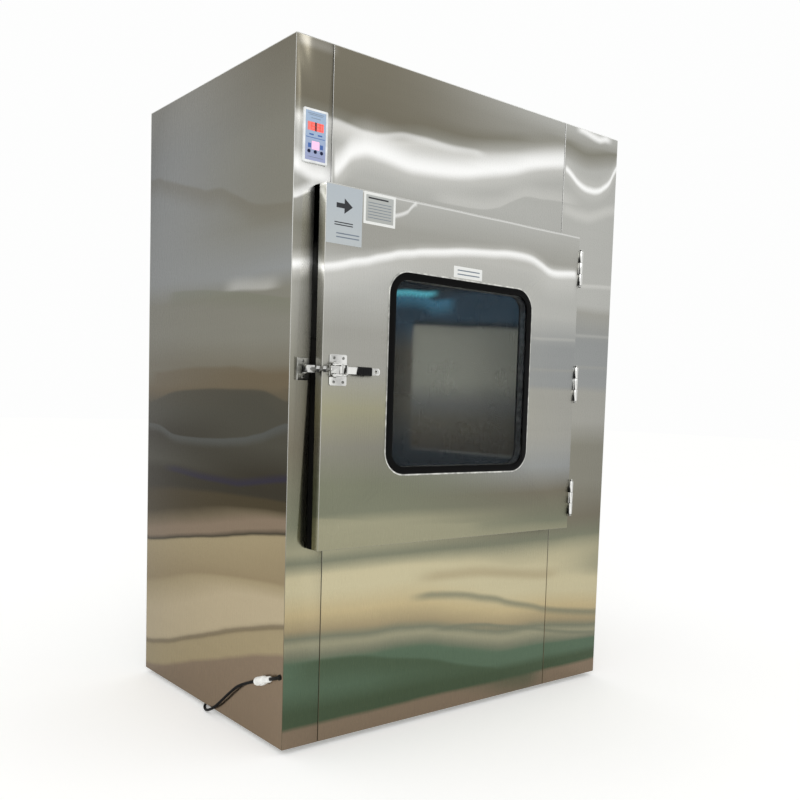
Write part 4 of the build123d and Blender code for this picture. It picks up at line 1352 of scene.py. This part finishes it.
@dataclass
class Controller(Assembly):
    """The small controller on the left strip.

    What is printed on it is placed from its bezel's lower left corner, in millimetres.
    """

    bezel_edge: float = 0.9 * MM
    recess: float = 5.5 * MM
    face_depth: float = 1.0 * MM
    film: float = 0.35 * MM
    film_corner: float = 1.5 * MM
    ink: float = 0.12 * MM
    key_hole: float = 4.6 * MM
    key_bodies: tuple[tuple[str, str], ...] = (
        ("key_1", "key_left"), ("key_2", "key_middle"), ("key_3", "key_right"))
    rule_width: float = 1.1
    rules: tuple[tuple[Span, float], ...] = (
        ((12, 59), 119.0), ((16, 55), 115.5), ((22, 50), 108.0), ((14, 58), 13.5))
    blue_marks: tuple[tuple[Span, Span], ...] = (
        ((17.0, 30.0), (67.0, 70.5)), ((42.0, 55.0), (67.0, 70.5)), ((7.5, 63.5), (60.5, 62.0)),
        ((14.0, 23.0), (36.0, 47.0)), ((49.0, 58.0), (36.0, 47.0)))
    indicator: tuple[Span, Span] = ((25.0, 47.0), (33.0, 53.0))
    windows: tuple[tuple[Span, Span], ...] = (((12.0, 34.5), (78.0, 99.0)), ((36.5, 59.0), (78.0, 99.0)))
    divider: tuple[Span, Span] = ((33.0, 38.0), (78.0, 99.0))
    digit_foot: float = 81.0
    digit_width: float = 7.4
    digit_height: float = 15.0
    stroke: float = 1.7
    digits: tuple[tuple[float, Figure], ...] = (
        (15.0, Figure.ONE), (24.5, Figure.FIVE), (39.5, Figure.THREE), (49.0, Figure.ZERO))

    @property
    def face(self) -> float:
        """Where the film lies, along Y."""
        return corners("controller_bezel")[0].y + self.face_depth

    def build(self) -> None:
        """Builds the frame, the membrane, the keys, the print and the display."""
        self.dress("controller_bezel", Finishes.white, "cabinet", "bezel_plastic", self.bezel_edge)
        self.paint(Finishes.black, "controller_housing")
        self.build_membrane()
        for node, body in self.key_bodies:
            self.build_key(node, body)
        self.print_marks("membrane_rules", Finishes.grey_ink,
                         [(x, (z, z + self.rule_width)) for x, z in self.rules])
        self.print_marks("membrane_marks", Finishes.blue_ink, self.blue_marks)
        self.print_marks("indicator_area", Finishes.blush, [self.indicator])
        self.print_marks("display_windows", Finishes.window, self.windows)
        bars = [bar for x, figure in self.digits for bar in self.digit_bars(x, figure)]
        self.print_marks("display_digits", Finishes.digit, bars, self.ink)
        self.print_marks("display_divider", Finishes.dark_ink, [self.divider], 2 * self.ink)

    def build_membrane(self) -> None:
        """Builds the film, with holes for the keys."""
        low, high = corners("controller_bezel")
        middle = Vector(((low.x + high.x) / 2, self.face, (low.z + high.z) / 2))
        holes = []
        for node, _ in self.key_bodies:
            key_low, key_high = corners(node)
            spot = (key_low + key_high) / 2 - middle
            holes.append(circle(spot.x, spot.z, self.key_hole))
        outline = rounded_outline(high.x - low.x - 2 * self.recess, high.z - low.z - 2 * self.recess,
                                  self.film_corner, 4)
        work = bmesh.new()
        plate(work, outline, middle, -self.film, holes)
        self.add(piece("membrane_film", work, Finishes.membrane, "cabinet"))

    def build_key(self, node: str, body: str) -> None:
        """Replaces a key by a crowned one.

        Args:
            node: The key's CAD node.
            body: The body it rides on.
        """
        low, high = corners(node)
        radius = (high.x - low.x) / 2
        depth = high.y - low.y
        crown = [(radius, 0.0), (radius, depth * 0.86), (radius * 0.93, depth * 0.95),
                 (radius * 0.6, depth * 0.985), (0.0, depth)]
        work = bmesh.new()
        turned(work, crown, Vector(((low.x + high.x) / 2, high.y, (low.z + high.z) / 2)), Vector((0, -1, 0)))
        self.add(piece("crowned_" + node, work, Finishes.key, body, (node,)))

    def print_marks(self, name: str, finish: Finish, marks: Iterable[tuple[Span, Span]],
                    lift: float = 0.0) -> None:
        """Adds a piece of flat marks.

        Args:
            name: Its name.
            finish: Its ink.
            marks: The sides of each mark along X and its edges along Z.
            lift: How thick the print under it is.
        """
        low, _ = corners("controller_bezel")
        front = self.face - self.film - lift
        work = bmesh.new()
        for x, z in marks:
            block(work, (low.x + x[0] * MM, low.x + x[1] * MM), (front - self.ink, front),
                  (low.z + z[0] * MM, low.z + z[1] * MM))
        self.add(piece(name, work, finish, "cabinet"))

    def digit_bars(self, left: float, figure: Figure) -> list[tuple[Span, Span]]:
        """The lit bars of one seven-segment digit.

        Args:
            left: Its left side.
            figure: What it shows.

        Returns:
            The bars as marks.
        """
        half = self.stroke / 2
        foot = self.digit_foot
        right = left + self.digit_width
        waist = foot + self.digit_height / 2
        head = foot + self.digit_height
        ends = {"a": (left, right, head, head), "b": (right, right, waist, head),
                "c": (right, right, foot, waist), "d": (left, right, foot, foot),
                "e": (left, left, foot, waist), "f": (left, left, waist, head),
                "g": (left, right, waist, waist)}
        bars = [ends[name] for name in figure.value]
        return [((x0 - half, x1 + half), (z0 - half, z1 + half)) for x0, x1, z0, z1 in bars]


@dataclass(frozen=True)
class Ruling:
    """Ruled lines on a label, in millimetres from the casing's left side and underside."""

    name: str
    x: Span
    heights: tuple[float, ...]
    width: float
    finish: Finish


@dataclass(frozen=True)
class Label:
    """A label in the same millimetres, how many labels lie under it, its lines and its arrow's middle."""

    name: str
    x: Span
    z: Span
    finish: Finish
    under: int = 0
    rulings: tuple[Ruling, ...] = ()
    arrow: Optional[Span] = None


@dataclass
class Labels(Assembly):
    """Plain labels on the front door, ruled where such labels carry text."""

    face: float = -0.495
    left: float = -0.620
    base: float = 0.015
    thickness: float = 0.3 * MM
    ink: float = 0.08 * MM
    corner: float = 1.5 * MM
    arrow: tuple[Span, ...] = ((-24, -6), (0, -6), (0, -19), (25, 0), (0, 19), (0, 6), (-24, 6))
    labels: tuple[Label, ...] = (
        Label("label_entry", (61.5, 170), (1297, 1440.5), Finishes.label_blue, arrow=(115, 1392), rulings=(
            Ruling("label_entry_rules", (86, 142), (1349, 1343), 2.6, Finishes.dark_ink),
            Ruling("label_entry_foot", (92, 162), (1322, 1313), 3.0, Finishes.grey_ink))),
        Label("label_notes_border", (174, 276), (1360, 1440.5), Finishes.label_white),
        Label("label_notes", (181, 269), (1367, 1433.5), Finishes.label_grey, under=1, rulings=(
            Ruling("label_notes_head", (188, 252), (1424,), 4.0, Finishes.dark_ink),
            Ruling("label_notes_rules", (187, 262), (1376, 1383.5, 1391, 1398.5, 1406, 1413.5), 1.6,
                   Finishes.grey_ink))),
        Label("label_window", (486, 594), (1259.5, 1291), Finishes.label_white, rulings=(
            Ruling("label_window_rules", (500, 584), (1279, 1268), 3.2, Finishes.grey_ink),)))

    def build(self) -> None:
        """Builds the labels and what is drawn on them."""
        for label in self.labels:
            (left, right), (foot, head) = label.x, label.z
            outline = rounded_outline((right - left) * MM, (head - foot) * MM, self.corner, 4)
            self.add_drawing(label.name, outline, ((left + right) / 2, (foot + head) / 2), label.finish,
                             label.under, self.thickness)
            if label.arrow is not None:
                self.add_drawing(label.name + "_arrow", in_millimetres(self.arrow), label.arrow,
                                 Finishes.dark_ink, label.under + 1, self.ink)
            for ruling in label.rulings:
                self.add_ruling(ruling, label.under + 1)

    def add_ruling(self, ruling: Ruling, under: int) -> None:
        """Adds ruled lines to a label.

        Args:
            ruling: The lines.
            under: How many labels lie under them.
        """
        front = self.face - under * self.thickness
        left, right = (self.left + side * MM for side in ruling.x)
        work = bmesh.new()
        for height in ruling.heights:
            foot = self.base + height * MM
            block(work, (left, right), (front - self.ink, front), (foot, foot + ruling.width * MM))
        self.add(piece(ruling.name, work, ruling.finish, "front_door"))

    def add_drawing(self, name: str, outline: Sequence[Span], middle: Span, finish: Finish, under: int,
                    thickness: float) -> None:
        """Adds a flat shape to the door.

        Args:
            name: Its name.
            outline: Its outline about its middle, in metres.
            middle: Where its middle is.
            finish: Its finish.
            under: How many labels lie under it.
            thickness: Its thickness.
        """
        centre = Vector((self.left + middle[0] * MM, self.face - under * self.thickness,
                         self.base + middle[1] * MM))
        work = bmesh.new()
        plate(work, outline, centre, -thickness)
        self.add(piece(name, work, finish, "front_door"))


@dataclass
class MainsLead(Assembly):
    """Gland, in-line coupler, lead, coil and plug. Profiles are in millimetres."""

    side: float = -0.620
    gland: tuple[float, float, float] = (-0.634, -0.424, 0.204)
    nut: float = 8.2 * MM
    nut_depth: float = 4 * MM
    neck: float = 4.6 * MM
    neck_steps: int = 10
    outlet: float = 26 * MM
    slope: float = 19.0
    coupler: float = 94 * MM
    coupler_profile: tuple[Span, ...] = (
        (5.2, 0.0), (7.6, 1.2), (8.2, 3.0), (8.2, 24.0), (9.2, 25.5), (9.2, 28.0), (8.6, 29.0), (11.2, 31.0),
        (11.8, 33.0), (11.8, 47.0), (11.3, 48.0), (11.3, 50.0), (11.8, 51.0), (11.8, 69.0), (10.8, 72.5),
        (6.0, 74.0))
    catch_profile: tuple[Span, ...] = ((5.6, 0.0), (5.6, 1.4), (4.8, 2.2))
    catch_along: float = 46 * MM
    catch_out: float = 10.6 * MM
    boot: float = 20 * MM
    boot_radius: float = 6.2 * MM
    boot_ribs: int = 4
    boot_pitch: float = 4.4 * MM
    boot_taper: float = 0.45 * MM
    clearance: float = 0.1 * MM
    diameter: float = 8 * MM
    plug_edge: float = 1.5 * MM
    route: tuple[tuple[float, float, float], ...] = (
        (-0.634, -0.238, 0.1399), (-0.634, -0.181, 0.101), (-0.634, -0.124, 0.058), (-0.634, -0.080, 0.026),
        (-0.632, -0.030, 0.004), (-0.614, 0.020, 0.004), (-0.572, 0.055, 0.004), (-0.512, 0.078, 0.004),
        (-0.450, 0.108, 0.004), (-0.398, 0.162, 0.004), (-0.368, 0.240, 0.004), (-0.352, 0.322, 0.004),
        (-0.349, 0.400, 0.004), (-0.353, 0.469, 0.004))
    layers: tuple[Span, ...] = (
        (0.053, 0.004), (0.045, 0.004), (0.037, 0.004), (0.0372, 0.012), (0.045, 0.012), (0.053, 0.012),
        (0.049, 0.020))
    turn_points: int = 16
    turn_settled: float = 0.75

    @property
    def run(self) -> Vector:
        """The way the coupler points, down along the casing's side."""
        return Vector((0, math.cos(math.radians(self.slope)), -math.sin(math.radians(self.slope))))

    @property
    def start(self) -> Vector:
        """Where the coupler starts."""
        return Vector(self.gland) + self.run * self.outlet

    def build(self) -> None:
        """Builds the pieces from the gland to the plug."""
        self.build_elbow()
        coupler = self.build_coupler()
        boot = self.build_boot()
        plug = self.dress("mains_plug", Finishes.black, "cabinet", "lead_rubber", self.plug_edge)
        self.build_cord([coupler, boot, plug])

    def build_elbow(self) -> None:
        """A hexagonal gland nut and the bent neck between it and the coupler."""
        corner = Vector(self.gland)
        wall = Vector((self.side, corner.y, corner.z))
        nut = [(self.nut * 0.92, 0.0), (self.nut, self.nut_depth * 0.2), (self.nut, self.nut_depth * 0.8),
               (self.nut * 0.9, self.nut_depth), (self.neck, self.nut_depth)]
        work = bmesh.new()
        turned(work, nut, wall, Vector((-1, 0, 0)), 6)
        rings = []
        for i in range(self.neck_steps + 1):
            share = i / self.neck_steps
            spot = wall * (1 - share) ** 2 + corner * (2 * share * (1 - share)) + self.start * share ** 2
            way = ((corner - wall) * (1 - share) + (self.start - corner) * share).normalized()
            turn = UP.rotation_difference(way).to_matrix()
            rings.append([work.verts.new(spot + turn @ Vector((x, y, 0)))
                          for x, y in circle(0, 0, self.neck, 16)])
        edges = [work.edges.new((a, b)) for ring in rings for a, b in zip(ring, ring[1:] + ring[:1])]
        bmesh.ops.bridge_loops(work, edges=edges)
        for ring in (rings[0], rings[-1]):
            work.faces.new(ring)
        self.add(piece("gland_neck", work, Finishes.black, "cabinet", ("mains_elbow",)))

    def build_coupler(self) -> Part:
        """The white in-line coupler: a slim half, then a wide half with its catch.

        Returns:
            The coupler.
        """
        work = bmesh.new()
        turned(work, in_millimetres(self.coupler_profile), self.start, self.run, 32)
        down = Vector((0, self.run.z, -self.run.y))
        root = self.start + self.run * self.catch_along + down * self.catch_out
        turned(work, in_millimetres(self.catch_profile), root, down, 16)
        return self.add(piece("coupler_body", work, Finishes.cream, "cabinet",
                              ("mains_coupler",)))

    def build_boot(self) -> Part:
        """The ribbed black boot where the lead leaves the coupler.

        Returns:
            The boot.
        """
        start = self.coupler - self.boot
        profile = [(self.boot_radius, start - 1.0 * MM)]
        for i in range(self.boot_ribs):
            near = start + i * self.boot_pitch
            wide = self.boot_radius - i * self.boot_taper
            slim = wide - 0.9 * MM
            profile += [(wide, near), (wide, near + 2.6 * MM),
                        (slim, near + 3.0 * MM), (slim, near + 4.0 * MM)]
        profile.append((4.3 * MM, self.coupler))
        work = bmesh.new()
        turned(work, profile, self.start, self.run)
        return self.add(piece("coupler_boot", work, Finishes.sheath, "cabinet"))

    def coil_points(self) -> list[Vector]:
        """The turns of the put-away lead, which end at the plug.

        Returns:
            Points along the coil.
        """
        low, high = corners("mains_coil")
        centre = Vector(((low.x + high.x) / 2, (low.y + high.y) / 2, 0))
        points = []
        for (radius, height), (after, rise) in zip(self.layers, self.layers[1:] + self.layers[-1:]):
            for step in range(self.turn_points):
                place = step / self.turn_points
                share = max(0.0, (place - self.turn_settled) / (1 - self.turn_settled))
                size = radius + (after - radius) * share
                angle = math.pi - 2 * math.pi * place
                points.append(centre + Vector((size * math.cos(angle), size * math.sin(angle),
                                               height + (rise - height) * share)))
        return points

    def build_cord(self, pieces: Sequence[Part]) -> None:
        """The lead itself, as one smooth curve.

        Args:
            pieces: The pieces on the lead; not used.
        """
        leaving = self.start + self.run * (self.coupler + self.clearance)
        points = [leaving] + [Vector(point) for point in self.route] + self.coil_points()
        data = bpy.data.curves.new("lead_cord", "CURVE")
        data.dimensions = "3D"
        data.resolution_u = 10
        data.bevel_depth = self.diameter / 2
        data.bevel_resolution = 3
        data.use_fill_caps = True
        line = data.splines.new("NURBS")
        line.points.add(len(points) - 1)
        for place, point in zip(line.points, points):
            place.co = (*point, 1.0)
        line.order_u = 3
        line.use_endpoint_u = True
        data.materials.append(Finishes.sheath.material())
        cord = placed("lead_cord", data)
        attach(cord, "cabinet")
        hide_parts("mains_lead", "mains_coil")
        self.add(cord)


@dataclass
class Studio:
    """Floor, background, lamp and camera."""

    floor_half: float = 30.0
    ambient: float = 0.78
    background: tuple[float, float, float, float] = (0.985, 0.987, 0.985, 1)
    lamp_place: tuple[float, float, float] = (-3.2, -4.2, 4.2)
    lamp_aim: tuple[float, float, float] = (0.0, 0.0, 1.0)
    lamp_size: Span = (3.0, 2.2)
    lamp_power: float = 60.0
    camera_place: tuple[float, float, float] = (-1.7869, -2.3801, 0.9197)
    yaw: float = 39.948
    pitch: float = -4.148
    roll: float = 1.872
    focal_pixels: float = 889.4
    centre_pixels: Span = (426.9, 468.6)
    image: int = 800
    sensor: float = 36.0

    def build(self) -> None:
        """Sets the stage."""
        self.build_floor()
        self.build_world()
        self.build_lamp()
        self.build_camera()
        bpy.context.scene.view_settings.view_transform = "Standard"

    def build_floor(self) -> None:
        """A wide pale floor."""
        work = bmesh.new()
        half = self.floor_half
        square = ((-half, -half), (half, -half), (half, half), (-half, half))
        work.faces.new([work.verts.new((x, y, 0)) for x, y in square])
        mesh = bpy.data.meshes.new("floor")
        work.to_mesh(mesh)
        work.free()
        mesh.materials.append(Finishes.floor.material())
        placed("floor", mesh)

    def build_world(self) -> None:
        """White where the camera, metal or glass sees it, and a softer level for the rest."""
        world = bpy.data.worlds.new("studio")
        bpy.context.scene.world = world
        graph = Graph(world)
        camera, glossy, through = (graph.node("ShaderNodeLightPath", output=ray)
                                   for ray in ("Is Camera Ray", "Is Glossy Ray", "Is Transmission Ray"))
        seen = graph.node("ShaderNodeMath", {"operation": "ADD", "use_clamp": True},
                          {0: camera + glossy, 1: through})
        strength = self.ambient + (1 - self.ambient) * seen
        back = graph.node("ShaderNodeBackground", {}, {"Color": self.background, "Strength": strength})
        graph.node("ShaderNodeOutputWorld", {}, {"Surface": back})

    def build_lamp(self) -> None:
        """A soft box that faces the middle of the casing."""
        data = bpy.data.lights.new("key_light", "AREA")
        data.shape = "RECTANGLE"
        data.size, data.size_y = self.lamp_size
        data.energy = self.lamp_power
        made = placed("key_light", data)
        made.location = self.lamp_place
        aim = Vector(self.lamp_aim) - Vector(self.lamp_place)
        made.rotation_euler = aim.to_track_quat("-Z", "Y").to_euler()

    def build_camera(self) -> None:
        """The camera, a little rolled and shifted."""
        yaw, pitch, roll = (math.radians(angle) for angle in (self.yaw, self.pitch, self.roll))
        look = Vector((math.sin(yaw) * math.cos(pitch), math.cos(yaw) * math.cos(pitch), math.sin(pitch)))
        right = look.cross(UP).normalized()
        up = right.cross(look)
        tilted = right * math.cos(roll) + up * math.sin(roll)
        raised = up * math.cos(roll) - right * math.sin(roll)
        turn = Matrix((tilted, raised, -look)).transposed()
        data = bpy.data.cameras.new("camera")
        data.sensor_width = self.sensor
        data.lens = self.focal_pixels * self.sensor / self.image
        data.shift_x = (self.image / 2 - self.centre_pixels[0]) / self.image
        data.shift_y = (self.centre_pixels[1] - self.image / 2) / self.image
        made = placed("camera", data)
        made.matrix_world = Matrix.Translation(self.camera_place) @ turn.to_4x4()
        bpy.context.scene.camera = made


def main() -> None:
    """Builds every assembly in order and logs its pieces."""
    logging.basicConfig(level=logging.INFO, format="%(message)s")
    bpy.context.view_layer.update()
    Studio().build()
    assemblies = [MainsLead(), Casing(), Chamber(), Works(), Door(end=End.FRONT), Door(end=End.REAR),
                  Hinges(), Latch(end=End.FRONT), Latch(end=End.REAR), Keepers(), Controller(), Labels()]
    for assembly in assemblies:
        assembly.build()
        assembly.report()
    bpy.context.view_layer.update()


if __name__ == "__main__":
    main()
